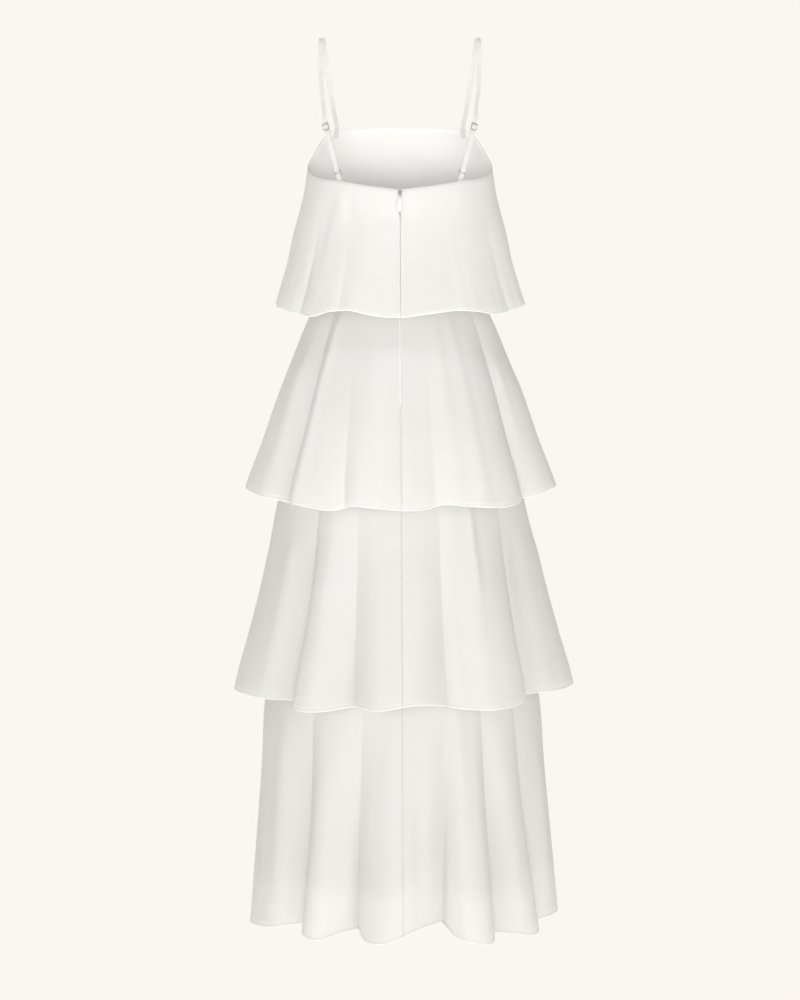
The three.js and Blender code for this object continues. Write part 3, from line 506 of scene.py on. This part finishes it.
# one cut piece between two seams, as a thin wall; its seam edges dip a little
def clothPiece(name, node, surface, layer, start, end, gaps):
    levels = np.linspace(layer.get("from", 0), layer.get("to", 1), layer["rows"])
    turns = []
    for level in levels:
        drift = float(layer["foldDown"](np.array(level))) if layer.get("foldDown") else level
        turns.append(columnTurns(start, end, layer["folds"], drift, layer["spacing"]))
    turn = np.stack(turns)
    down = np.repeat(levels[:, None], turn.shape[1], axis=1)
    points = surface(turn, down)
    outward = outwardAt(surface, turn, down)
    for edge, inner, gap in ((0, 1, gaps[0]), (-1, -2, gaps[1])):
        way = points[:, inner] - points[:, edge]
        way /= np.linalg.norm(way, axis=-1, keepdims=True)
        points[:, edge] += way * gap / 2
    across = lengthsAlong(points, 1)
    reach = across[:, -1:] - across
    near = cut["seamReach"]
    dip = np.exp(-((across / near) ** 2)) + np.exp(-((reach / near) ** 2))
    points -= outward * (dip * layer.get("seamDip", cut["seamDip"]))[..., None]
    lengths = lengthsAlong(points, 0)
    piece = gridMesh(name, points, np.stack([across * mm, lengths * mm], -1))
    wall = piece.modifiers.new("wall", "SOLIDIFY")
    wall.thickness = cut["wall"] * mm
    wall.offset = 1.0 if layer.get("wallOut") else -1.0
    applyAll(piece)
    piece.data.materials.append(layer["material"])
    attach(piece, "dress")
    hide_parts(node)
    quads = np.linalg.norm(np.cross(points[1:, :-1] - points[:-1, :-1],
                                    points[:-1, 1:] - points[:-1, :-1]), axis=-1)
    area = float(quads.sum()) * mm * mm
    width = float(across[:, -1].max()) * mm
    length = float(lengths[-1].max()) * mm
    cutSizes[name] = (round(width, 3), round(length, 3), round(area, 4))
    pieces[name] = {"piece": piece, "hem": points[-1], "hemOut": outward[-1],
                    "side": points[:, 0]}
    return piece


def cutLayer(node, surface, layer):
    name = node.replace("_u", "U").replace("_m", "M").replace("_l", "L")
    back = layer.get("backGap", cut["sewnGap"])
    side = cut["sewnGap"]
    clothPiece(f"{name}Front", f"{node}_front", surface, layer, 90, 270, (side, side))
    clothPiece(f"{name}BackLeft", f"{node}_back_left", surface, layer, 0, 90, (back, side))
    clothPiece(f"{name}BackRight", f"{node}_back_right", surface, layer, -90, 0, (side, back))


neckColumns = flounceFolds + [(118, 118), (-118, -118)]
seam = cut["seamGap"] / 2
layers = {
    "bodice": {"surface": bodiceSurface, "folds": neckColumns, "rows": 30, "spacing": 1.5,
               "foldDown": lambda level: 0 * level, "material": liningCloth, "slot": "lining",
               "backGap": cut["zipGap"], "seamDip": 0.4},
    "slip_upper": {"surface": slipSurface, "folds": tier4Folds, "rows": 20, "spacing": 1.5,
                   "foldDown": slipFoldDown, "material": liningCloth, "slot": "lining",
                   "to": slipDown(cut["tier3Seam"] + seam)},
    "slip_middle": {"surface": slipSurface, "folds": tier4Folds, "rows": 14, "spacing": 1.5,
                    "foldDown": slipFoldDown, "material": liningCloth, "slot": "lining",
                    "from": slipDown(cut["tier3Seam"] - seam),
                    "to": slipDown(cut["tier4Seam"] + seam)},
    "slip_lower": {"surface": slipSurface, "folds": tier4Folds, "rows": 32, "spacing": 1.5,
                   "foldDown": slipFoldDown, "material": liningCloth, "slot": "lining",
                   "from": slipDown(cut["tier4Seam"] - seam)},
    "flounce": {"surface": flounceSurface, "folds": neckColumns, "rows": 36, "spacing": 1.1,
                "material": chiffon, "slot": "chiffon", "backGap": cut["flounceGap"]},
    "tier2": {"surface": tier2Surface, "folds": tier2Folds, "rows": 44, "spacing": 0.85,
              "material": chiffon, "slot": "chiffon"},
    "tier3": {"surface": tier3Surface, "folds": tier3Folds, "rows": 44, "spacing": 0.85,
              "material": chiffon, "slot": "chiffon"},
    "tier4": {"surface": tier4Surface, "folds": tier4Folds, "rows": 44, "spacing": 0.85,
              "material": chiffon, "slot": "chiffon"},
}
for layerName, layer in layers.items():
    cutLayer(layerName, layer["surface"], layer)
    print("cloth layer", layerName)


# a closed tube round a line of points
def tubeMesh(name, line, radius, sides, closed, squash=1.0):
    count = len(line)
    ahead = np.roll(line, -1, axis=0) - np.roll(line, 1, axis=0)
    if not closed:
        ahead[0] = line[1] - line[0]
        ahead[-1] = line[-1] - line[-2]
    ahead /= np.linalg.norm(ahead, axis=1, keepdims=True)
    up = np.array([0.0, 0.0, 1.0])
    across = np.cross(ahead, up)
    across /= np.linalg.norm(across, axis=1, keepdims=True)
    lift = np.cross(across, ahead)
    verts = []
    for k in range(count):
        for s in range(sides):
            angle = 2 * math.pi * s / sides
            offset = across[k] * math.cos(angle) * squash + lift[k] * math.sin(angle)
            verts.append(line[k] + offset * radius)
    faces = []
    for k in range(count if closed else count - 1):
        n = (k + 1) % count
        for s in range(sides):
            t = (s + 1) % sides
            faces.append((k * sides + s, k * sides + t, n * sides + t, n * sides + s))
    if not closed:
        faces.append(tuple(range(sides))[::-1])
        faces.append(tuple((count - 1) * sides + s for s in range(sides)))
    mesh = bpy.data.meshes.new(name)
    mesh.from_pydata([(v * mm).tolist() for v in verts], [], faces)
    mesh.polygons.foreach_set("use_smooth", [True] * len(mesh.polygons))
    mesh.uv_layers.new(name="cloth")
    mesh.validate()
    piece = bpy.data.objects.new(name, mesh)
    bpy.context.scene.collection.objects.link(piece)
    makeActive(piece)
    bpy.ops.object.mode_set(mode="EDIT")
    bpy.ops.mesh.select_all(action="SELECT")
    bpy.ops.mesh.normals_make_consistent(inside=False)
    bpy.ops.object.mode_set(mode="OBJECT")
    return piece


# a narrow rolled hem along the lower edge of each piece
hem = {"radius": 1.1, "sides": 8, "squash": 0.85}
for name, made in pieces.items():
    if name.startswith(("bodice", "slipUpper", "slipMiddle")):
        continue
    line = made["hem"] - made["hemOut"] * cut["wall"] / 2
    roll = tubeMesh(name + "Hem", line, hem["radius"], hem["sides"], False, hem["squash"])
    roll.data.materials.append(liningCloth if name.startswith("slip") else hemCloth)
    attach(roll, "dress")
print("hems rolled")

for name, (width, length, area) in cutSizes.items():
    print("cut", name, width, length, area)


# straps: centre points in millimetres and the turn of the band's face seen from above
strap = {
    "width": 8,
    "thick": 1,
    "frontTurn": 130.5,
    "frontDrop": 14,
    "ringTurn": 42.8,
    "ringHeight": -219,
    "slider": (113.5, 66, -148),
    "loopReach": 1.85,
    "loopRow": 3.4,
    "behind": 1.6,
}
strapLine = [
    (105.5, -57, -100, -34), (109.5, -56, -74, -28), (113.5, -50, -48, -20),
    (117, -39, -25, -12), (119.3, -25, -9, -6), (120.7, -8, -0.6, 0), (121.4, 9, -1.5, 3),
    (122, 25, -12, 10), (122.3, 38, -31, 18), (122, 48, -57, 27), (120.6, 55.5, -88, 36),
    (117, 61, -118, 43)]


def ringAt(form, turn, height, grow):
    point, along, outward = ringFrame(form, np.array([turn], float), np.array([height], float),
                                      grow)
    return point[0], along[0], outward[0]


def unit(vector):
    return vector / np.linalg.norm(vector)


ringPoint, _, ringOut = ringAt(bodiceForm, strap["ringTurn"], strap["ringHeight"], -3.0)
sliderPoint = np.array(strap["slider"], float)
strapUp = unit(sliderPoint - ringPoint)
strapAcross = unit(np.cross(strapUp, ringOut))
strapOut = np.cross(strapAcross, strapUp)
strapLength = float(np.linalg.norm(sliderPoint - ringPoint))


def framePlace(along, out):
    return (ringPoint + strapUp * along + strapOut * out, strapAcross)


def ringLoop(way):
    places = []
    for step in range(17):
        angle = math.pi * step / 16
        places.append(framePlace(way * (strap["loopRow"] - strap["loopReach"] * math.sin(angle)),
                                 strap["loopReach"] * math.cos(angle)))
    return places


def strapPlaces():
    places = []
    height = float(necklineHeight(np.array(strap["frontTurn"])))
    for drop in (strap["frontDrop"], 7, 0):
        point, along, _ = ringAt(bodiceForm, strap["frontTurn"], height - drop, -2.35)
        places.append((point, along))
    for x, y, z, face in strapLine:
        angle = math.radians(face)
        places.append((np.array([x, y, z], float),
                       np.array([-math.cos(angle), math.sin(angle), 0])))
    behind = -strap["behind"]
    n = strapLength
    for along, out in ((n + 9, -0.6), (n + 5.6, behind), (n + 3.6, behind * 0.7),
                       (n + 1, -behind), (n - 1, -behind), (n - 3.6, behind * 0.7),
                       (n - 5.6, behind), (n - 9, 0.2), (n * 0.5, 0.7), (10, 0.8), (6, 1.3)):
        places.append(framePlace(along, out))
    places += ringLoop(1)
    for along, out in ((6, -1.3), (10, -0.8), (n * 0.5, -0.8), (n - 10, -1.4),
                       (n - 7.5, behind - 1.5), (n - 4.5, behind - 1.5)):
        places.append(framePlace(along, out))
    return places


def tabPlaces():
    places = [framePlace(along, out) for along, out in ((-26, 0.65), (-17, 0.65), (-10, 0.65),
                                                        (-6, 1.3))]
    places += ringLoop(-1)
    places += [framePlace(along, out) for along, out in ((-6, -1.3), (-10, -0.65), (-17, -0.65),
                                                         (-26, -0.65))]
    return places


# runs a smooth line through the places, with extra points between them
def smoothPlaces(places, steps):
    points = np.array([p for p, _ in places])
    across = np.array([a for _, a in places])
    result = []
    for k in range(len(points) - 1):
        p0, p1 = points[max(k - 1, 0)], points[k]
        p2, p3 = points[k + 1], points[min(k + 2, len(points) - 1)]
        gap = np.linalg.norm(p2 - p1)
        m1 = (p2 - p0) * gap / max(np.linalg.norm(p2 - p1) + np.linalg.norm(p1 - p0), 1e-6)
        m2 = (p3 - p1) * gap / max(np.linalg.norm(p3 - p2) + np.linalg.norm(p2 - p1), 1e-6)
        count = max(1, min(steps, int(gap / 1.2)))
        for s in range(count):
            t = s / count
            result.append(((2 * t**3 - 3 * t**2 + 1) * p1 + (t**3 - 2 * t**2 + t) * m1
                           + (-2 * t**3 + 3 * t**2) * p2 + (t**3 - t**2) * m2,
                           unit(mixed(across[k], across[k + 1], t))))
    result.append((points[-1], across[-1]))
    return result


# a flat band with rounded edges along a line of places
def bandMesh(name, places, width, thick, side):
    half = width / 2
    lip = thick / 2
    outline = [(-half + lip * 0.3, lip), (-half * 0.6, lip), (0, lip), (half * 0.6, lip),
               (half - lip * 0.3, lip), (half, 0), (half - lip * 0.3, -lip),
               (half * 0.6, -lip), (0, -lip), (-half * 0.6, -lip), (-half + lip * 0.3, -lip),
               (-half, 0)]
    points = np.array([p for p, _ in places])
    verts = []
    for k, (point, across) in enumerate(places):
        run = unit(points[min(k + 1, len(points) - 1)] - points[max(k - 1, 0)])
        face = unit(np.cross(run, across))
        edge = np.cross(face, run)
        for a, b in outline:
            vert = point + edge * a + face * b
            verts.append((vert[0] * side * mm, vert[1] * mm, vert[2] * mm))
    n = len(outline)
    faces = [tuple(range(n)), tuple((len(places) - 1) * n + s for s in range(n))[::-1]]
    for k in range(len(places) - 1):
        for s in range(n):
            t = (s + 1) % n
            faces.append((k * n + s, (k + 1) * n + s, (k + 1) * n + t, k * n + t))
    mesh = bpy.data.meshes.new(name)
    mesh.from_pydata(verts, [], faces)
    mesh.uv_layers.new(name="cloth")
    uv = mesh.uv_layers["cloth"].data
    for loop in mesh.loops:
        row, spot = divmod(loop.vertex_index, n)
        uv[loop.index].uv = (outline[spot][0] * mm, row * 1.2 * mm)
    piece = bpy.data.objects.new(name, mesh)
    bpy.context.scene.collection.objects.link(piece)
    makeActive(piece)
    bpy.ops.object.mode_set(mode="EDIT")
    bpy.ops.mesh.select_all(action="SELECT")
    bpy.ops.mesh.normals_make_consistent(inside=False)
    bpy.ops.object.mode_set(mode="OBJECT")
    bpy.ops.object.shade_smooth_by_angle(angle=math.radians(50))
    return piece


# the strap fittings' frame, mirrored for the wearer's right
def fittingMatrix(origin, side):
    across, up, out = strapAcross.copy(), strapUp.copy(), strapOut.copy()
    spot = np.array(origin, float)
    if side < 0:
        across[1:] *= -1
        up[0] *= -1
        out[0] *= -1
        spot[0] *= -1
    matrix = Matrix((across, up, out)).transposed().to_4x4()
    matrix.translation = Vector(spot * mm)
    return matrix


def makeRing(name):
    deselectAll()
    bpy.ops.mesh.primitive_torus_add(major_radius=4.9 * mm, minor_radius=0.7 * mm,
                                     major_segments=48, minor_segments=14)
    ring = bpy.context.object
    ring.name = name
    bpy.ops.object.shade_smooth()
    return ring


sliderSize = {"across": 10.8, "along": 10.4, "bar": 1.05, "thick": 1.3, "round": 0.35}


# a flat frame with a middle bar, from two squares that are inset and opened
def makeSlider(name):
    deselectAll()
    bpy.ops.mesh.primitive_grid_add(x_subdivisions=1, y_subdivisions=2, size=1 * mm)
    slider = bpy.context.object
    slider.name = name
    slider.scale = (sliderSize["across"], sliderSize["along"], 1)
    bpy.ops.object.transform_apply(location=False, rotation=False, scale=True)
    bpy.ops.object.mode_set(mode="EDIT")
    bpy.ops.mesh.select_all(action="SELECT")
    bpy.ops.mesh.inset(thickness=sliderSize["bar"] * mm, use_individual=True,
                       use_even_offset=True)
    bpy.ops.mesh.delete(type="FACE")
    bpy.ops.mesh.select_all(action="SELECT")
    bpy.ops.mesh.extrude_region_move(
        TRANSFORM_OT_translate={"value": (0, 0, sliderSize["thick"] * mm)})
    bpy.ops.mesh.select_all(action="SELECT")
    bpy.ops.mesh.normals_make_consistent(inside=False)
    bpy.ops.object.mode_set(mode="OBJECT")
    placeMesh(slider, Matrix.Translation((0, 0, -sliderSize["thick"] * mm / 2)))
    rounded = slider.modifiers.new("rounded", "BEVEL")
    rounded.width = sliderSize["round"] * mm
    rounded.segments = 3
    rounded.limit_method = "ANGLE"
    applyAll(slider)
    bpy.ops.object.shade_smooth_by_angle(angle=math.radians(35))
    return slider


for side, word in ((1, "Left"), (-1, "Right")):
    low = word.lower()
    band = bandMesh(f"strap{word}", smoothPlaces(strapPlaces(), 12), strap["width"],
                    strap["thick"], side)
    tab = bandMesh(f"ringTab{word}", smoothPlaces(tabPlaces(), 6), strap["width"],
                   strap["thick"], side)
    for piece, node in ((band, f"strap_{low}"), (tab, f"ring_tab_{low}")):
        piece.data.materials.append(strapSatin)
        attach(piece, "dress")
        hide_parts(node)
    ring = makeRing(f"strapRing{word}")
    placeMesh(ring, fittingMatrix(ringPoint, side))
    slider = makeSlider(f"strapSlider{word}")
    placeMesh(slider, fittingMatrix(sliderPoint, side))
    for piece, node in ((ring, f"strap_ring_{low}"), (slider, f"strap_slider_{low}")):
        piece.data.materials.clear()
        piece.data.materials.append(strapMetal)
        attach(piece, "dress")
        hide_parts(node)
print("straps made")

# zip: millimetres; the pull tab hangs from the foot of the slider's bridge
zipSizes = {
    "end": -582,
    "tapeWidth": 11,
    "tapeThick": 0.7,
    "lay": 0.8,
    "coilRadius": 1.3,
    "coilWire": 0.32,
    "coilPitch": 1.6,
    "plateFace": 98.8,
    "plateThick": 1.6,
    "plateTop": -250,
    "plateFoot": -264.5,
    "plateWidth": 5.4,
    "bridgeTop": -255,
    "bridgeFoot": -262.4,
    "bridgeWidth": 1.4,
    "bridgeLeg": 1.2,
    "bridgeReach": 5.4,
    "pivot": (0, 102.6, -260.3),
    "tabLength": 22.4,
    "tabWidth": 7.4,
    "tabNeck": 5,
    "tabThick": 1,
    "eyeBar": 1.2,
    "eyeLength": 4.4,
    "eyeWidth": 2.6,
    "tabTilt": -2.5,
    "lip": 0.9,
    "lipShift": (0.5, 0.1, 0),
    "plateTaper": 0.72,
    "plateRound": 0.45,
    "partRound": 0.22,
    "bridgeSunk": 0.2,
    "tabCorner": 0.9,
    "coilSquash": 0.45,
}
zipHeights = [-251, -265, -276, -288, -300, -326, -350, -378, -404, -420, -440, -470, -500, -545,
              -582]


def zipPlaces(offset, inward):
    places = []
    for height in zipHeights:
        form = bodiceForm if height > cut["waist"] else slipForm
        level = np.array([height], float)
        half = smoothRead(form, 1, level)[0]
        turn = math.degrees(math.asin(offset / half))
        point, along, _ = ringAt(form, turn, height, -inward)
        point[0] = offset + float(sideShift(np.array(height, float)))
        places.append((point, -along))
    return places


def makeTapes():
    inward = cut["solidWall"] + zipSizes["lay"] + 0.5
    offset = (zipSizes["tapeWidth"] + cut["seamGap"]) / 2
    for side, word in ((1, "Left"), (-1, "Right")):
        tape = bandMesh(f"zipTape{word}", smoothPlaces(zipPlaces(side * offset, inward), 12),
                        zipSizes["tapeWidth"], zipSizes["tapeThick"], 1)
        tape.data.materials.append(zipTape)
        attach(tape, "dress")
        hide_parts(f"zip_tape_{word.lower()}")


# the closed coil between the tapes, as one long spring
def makeCoil():
    inward = cut["solidWall"] + zipSizes["lay"] + 0.5
    centre = smoothPlaces(zipPlaces(0.0, inward), 200)
    line = np.array([p for p, _ in centre])
    run = lengthsAlong(line[None], 1)[0]
    turns = run[-1] / zipSizes["coilPitch"]
    steps = np.linspace(0, 1, int(turns * 8))
    at = steps * run[-1]
    path = np.stack([np.interp(at, run, line[:, k]) for k in range(3)], -1)
    angle = 2 * np.pi * turns * steps
    path[:, 0] += zipSizes["coilRadius"] * np.cos(angle)
    path[:, 1] += zipSizes["coilRadius"] * zipSizes["coilSquash"] * np.sin(angle)
    coil = tubeMesh("zipCoil", path, zipSizes["coilWire"], 5, False)
    coil.data.materials.append(zipTape)
    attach(coil, "dress")


# folded lips of cloth that hide the zip, on the flounce and the top of tier 2
def makeLips():
    for name, word in (("flounceBackLeft", "Flounce"), ("tier2BackLeft", "Tier2")):
        edge = pieces[name]["side"]
        line = edge[edge[:, 2] > zipSizes["end"]] + np.array(zipSizes["lipShift"])
        lip = tubeMesh(f"zipLip{word}", line, zipSizes["lip"], 8, False)
        lip.data.materials.append(hemCloth)
        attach(lip, "dress")


def editMode(piece, select):
    makeActive(piece)
    bpy.ops.object.mode_set(mode="EDIT")
    bpy.ops.mesh.select_mode(type=select)
    bpy.ops.mesh.select_all(action="DESELECT")
    bpy.ops.object.mode_set(mode="OBJECT")


def joinPieces(name, parts):
    deselectAll()
    for part in parts:
        part.select_set(True)
    bpy.context.view_layer.objects.active = parts[0]
    bpy.ops.object.join()
    parts[0].name = name
    return parts[0]


def makeZipSlider():
    z = zipSizes
    outer = z["plateFace"] + z["plateThick"]
    foot = (outer - z["bridgeSunk"]) * mm
    deselectAll()
    bpy.ops.mesh.primitive_cube_add(size=1, location=(
        0, (z["plateFace"] + outer) / 2 * mm, (z["plateTop"] + z["plateFoot"]) / 2 * mm))
    plate = bpy.context.object
    plate.scale = (z["plateWidth"] * mm, z["plateThick"] * mm,
                   (z["plateTop"] - z["plateFoot"]) * mm)
    bpy.ops.object.transform_apply(location=True, rotation=True, scale=True)
    editMode(plate, "FACE")
    for face in plate.data.polygons:
        face.select = face.normal.z < -0.9
    bpy.ops.object.mode_set(mode="EDIT")
    bpy.ops.transform.resize(value=(z["plateTaper"], 1, 1))
    bpy.ops.mesh.select_all(action="DESELECT")
    bpy.ops.object.mode_set(mode="OBJECT")
    rounded = plate.modifiers.new("rounded", "BEVEL")
    rounded.width = z["plateRound"] * mm
    rounded.segments = 3
    applyAll(plate)
    middle = (z["bridgeTop"] + z["bridgeFoot"]) / 2
    radius = (z["bridgeTop"] - z["bridgeFoot"] - z["bridgeLeg"]) / 2
    deselectAll()
    bpy.ops.mesh.primitive_plane_add(size=1, location=(
        0, foot, (z["bridgeTop"] - z["bridgeLeg"] / 2) * mm),
        rotation=(math.radians(90), 0, 0))
    bridge = bpy.context.object
    bridge.scale = (z["bridgeWidth"] * mm, z["bridgeLeg"] * mm, 1)
    bpy.ops.object.transform_apply(location=True, rotation=True, scale=True)
    bpy.ops.object.mode_set(mode="EDIT")
    bpy.ops.mesh.select_all(action="SELECT")
    bpy.ops.mesh.spin(steps=14, angle=math.radians(180), dupli=False,
                      center=(0, foot, middle * mm), axis=(-1, 0, 0))
    bpy.ops.mesh.select_all(action="SELECT")
    bpy.ops.mesh.remove_doubles(threshold=0.00001)
    bpy.ops.mesh.normals_make_consistent(inside=False)
    bpy.ops.object.mode_set(mode="OBJECT")
    high = max(v.co.y for v in bridge.data.vertices)
    if high - foot < 0.001:
        placeMesh(bridge, Matrix.Translation((0, 2 * foot, 0))
                  @ Matrix.Scale(-1, 4, (0, 1, 0)))
        bridge.data.flip_normals()
    squash = z["bridgeReach"] / (radius + z["bridgeLeg"] / 2)
    placeMesh(bridge, Matrix.Translation((0, foot, 0)) @ Matrix.Scale(squash, 4, (0, 1, 0))
              @ Matrix.Translation((0, -foot, 0)))
    rounded = bridge.modifiers.new("rounded", "BEVEL")
    rounded.width = z["partRound"] * mm
    rounded.segments = 2
    rounded.limit_method = "ANGLE"
    rounded.angle_limit = math.radians(50)
    applyAll(bridge)
    slider = joinPieces("zipSlider", [plate, bridge])
    makeActive(slider)
    bpy.ops.object.shade_smooth_by_angle(angle=math.radians(40))
    slider.data.materials.clear()
    slider.data.materials.append(zipSteel)
    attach(slider, "dress")
    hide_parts("zip_slider")


# a flat tab, rounded at the foot, with an eye for the bridge
def makePullTab():
    z = zipSizes
    half = z["tabWidth"] / 2
    top = z["eyeBar"] / 2
    deselectAll()
    bpy.ops.mesh.primitive_circle_add(vertices=40, radius=half * mm, fill_type="NGON",
                                      rotation=(math.radians(90), 0, 0),
                                      location=(0, 0, (-z["tabLength"] + half) * mm))
    tab = bpy.context.object
    tab.name = "zipPull"
    bpy.ops.object.transform_apply(location=True, rotation=True, scale=True)
    middle = (-z["tabLength"] + half) * mm
    upper = [v for v in tab.data.vertices if v.co.z > middle + 0.00001]
    for vertex in upper:
        share = abs(vertex.co.x) / (half * mm)
        corner = 1 - max(share - 0.8, 0) / 0.2
        vertex.co.z = (top - z["tabCorner"] * (1 - math.sqrt(max(corner, 0)))) * mm
        vertex.co.x *= z["tabNeck"] / z["tabWidth"]
    bpy.ops.object.mode_set(mode="EDIT")
    for spot, way in (((0, 0, -top), (0, 0, 1)), ((0, 0, -top - z["eyeLength"]), (0, 0, 1)),
                      ((z["eyeWidth"] / 2, 0, 0), (1, 0, 0)),
                      ((-z["eyeWidth"] / 2, 0, 0), (1, 0, 0))):
        bpy.ops.mesh.select_all(action="SELECT")
        bpy.ops.mesh.bisect(plane_co=[v * mm for v in spot], plane_no=way)
    bpy.ops.mesh.select_all(action="DESELECT")
    bpy.ops.object.mode_set(mode="OBJECT")
    editMode(tab, "FACE")
    for face in tab.data.polygons:
        inside = -top - z["eyeLength"] < face.center.z / mm < -top
        face.select = inside and abs(face.center.x / mm) < z["eyeWidth"] / 2
    bpy.ops.object.mode_set(mode="EDIT")
    bpy.ops.mesh.delete(type="FACE")
    bpy.ops.mesh.select_all(action="SELECT")
    bpy.ops.mesh.extrude_region_move(
        TRANSFORM_OT_translate={"value": (0, z["tabThick"] * mm, 0)})
    bpy.ops.mesh.select_all(action="SELECT")
    bpy.ops.mesh.normals_make_consistent(inside=False)
    bpy.ops.object.mode_set(mode="OBJECT")
    placeMesh(tab, Matrix.Translation((0, -z["tabThick"] / 2 * mm, 0)))
    placeMesh(tab, Matrix.Rotation(math.radians(z["tabTilt"]), 4, "Y"))
    placeMesh(tab, Matrix.Translation([v * mm for v in z["pivot"]]))
    rounded = tab.modifiers.new("rounded", "BEVEL")
    rounded.width = z["partRound"] * mm
    rounded.segments = 2
    rounded.limit_method = "ANGLE"
    rounded.angle_limit = math.radians(50)
    applyAll(tab)
    bpy.ops.object.shade_smooth_by_angle(angle=math.radians(40))
    tab.data.materials.append(zipEnamel)
    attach(tab, "pull_tab")
    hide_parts("zip_pull")


makeTapes()
makeCoil()
makeLips()
makeZipSlider()
makePullTab()
print("zip made")

# stage, lights and camera
backdropCloth = newMaterial("backdrop", (0, 0, 0), 1, Specular_IOR_Level=0)
backdropShader = backdropCloth.node_tree.nodes["Principled BSDF"]
backdropShader.inputs["Emission Color"].default_value = (*studio["backdrop"], 1)
backdropShader.inputs["Emission Strength"].default_value = studio["backdropGlow"]


def addStage():
    deselectAll()
    bpy.ops.mesh.primitive_grid_add(x_subdivisions=1, y_subdivisions=1,
                                    size=2 * studio["floorReach"],
                                    location=(0, 0, studio["floorHeight"]))
    floor = bpy.context.object
    floor.name = "floor"
    for vertex in floor.data.vertices:
        if vertex.co.y < 0:
            vertex.co.y = -studio["wallDistance"]
    bpy.ops.object.mode_set(mode="EDIT")
    bpy.ops.mesh.select_mode(type="EDGE")
    bpy.ops.mesh.select_all(action="DESELECT")
    bpy.ops.object.mode_set(mode="OBJECT")
    for edge in floor.data.edges:
        edge.select = all(floor.data.vertices[v].co.y < -1 for v in edge.vertices)
    bpy.ops.object.mode_set(mode="EDIT")
    bpy.ops.mesh.extrude_region_move(TRANSFORM_OT_translate={
        "value": (0, 0, studio["wallHeight"])})
    bpy.ops.object.mode_set(mode="OBJECT")
    bend = floor.modifiers.new("bend", "BEVEL")
    bend.width = studio["bend"]
    bend.segments = 12
    applyAll(floor)
    bpy.ops.object.shade_smooth()
    floor.data.materials.append(backdropCloth)


# soft boxes: where each stands, what it faces, its width in metres, its watts and its spread
lights = {
    "key": ((2.8, 2.8, -0.5), (0, 0, -0.7), 1.4, 23.5, 180),
    "fill": ((-2.4, 3.2, -0.8), (0, 0, -0.7), 2.2, 35, 180),
    "low": ((0, 3.4, -1.4), (0, 0, -0.5), 1.6, 47, 180),
    "waist": ((0.2, 2.6, -0.78), (0, 0.1, -0.47), 0.5, 0.18, 26),
    "neck": ((0, 0.45, 0.45), (0, -0.1, -0.22), 0.3, 1.7, 180),
    "front": ((0.6, -2.0, 0.4), (0, 0, -0.7), 2.2, 18, 180),
}


def addArea(name, place, aim, size, power, spread):
    light = bpy.data.lights.new(name, "AREA")
    light.size = size
    light.energy = power
    light.spread = math.radians(spread)
    lamp = bpy.data.objects.new(name, light)
    lamp.location = place
    lamp.rotation_euler = (Vector(aim) - Vector(place)).to_track_quat("-Z", "Y").to_euler()
    bpy.context.scene.collection.objects.link(lamp)


addStage()
for name, values in lights.items():
    addArea(name, *values)
world = bpy.data.worlds.new("studioAir")
world.use_nodes = True
# past the floor the backdrop's colour is seen, while a softer air lights the dress
airNode = world.node_tree.nodes["Background"]
airNode.inputs["Color"].default_value = (*studio["air"], 1)
airNode.inputs["Strength"].default_value = studio["airStrength"]
seenNode = addNode(world, "ShaderNodeBackground", Color=(*studio["backdrop"], 1),
                   Strength=studio["backdropGlow"])
rayNode = addNode(world, "ShaderNodeLightPath")
bothNode = addNode(world, "ShaderNodeMixShader")
link(world, rayNode.outputs["Is Camera Ray"], bothNode.inputs[0])
link(world, airNode.outputs[0], bothNode.inputs[1])
link(world, seenNode.outputs[0], bothNode.inputs[2])
link(world, bothNode.outputs[0], world.node_tree.nodes["World Output"].inputs["Surface"])
bpy.context.scene.world = world
bpy.context.scene.view_settings.view_transform = "Standard"

cameraData = bpy.data.cameras.new("camera")
cameraData.sensor_width = studio["sensor"]
cameraData.lens = studio["sensor"] * studio["distance"] / (
    studio["photoHeight"] * studio["metresPerPixel"])
camera = bpy.data.objects.new("camera", cameraData)
camera.location = (0, studio["distance"], studio["cameraHeight"])
camera.rotation_euler = (math.radians(90), 0, math.radians(180))
bpy.context.scene.collection.objects.link(camera)
bpy.context.scene.camera = camera
print("studio set")
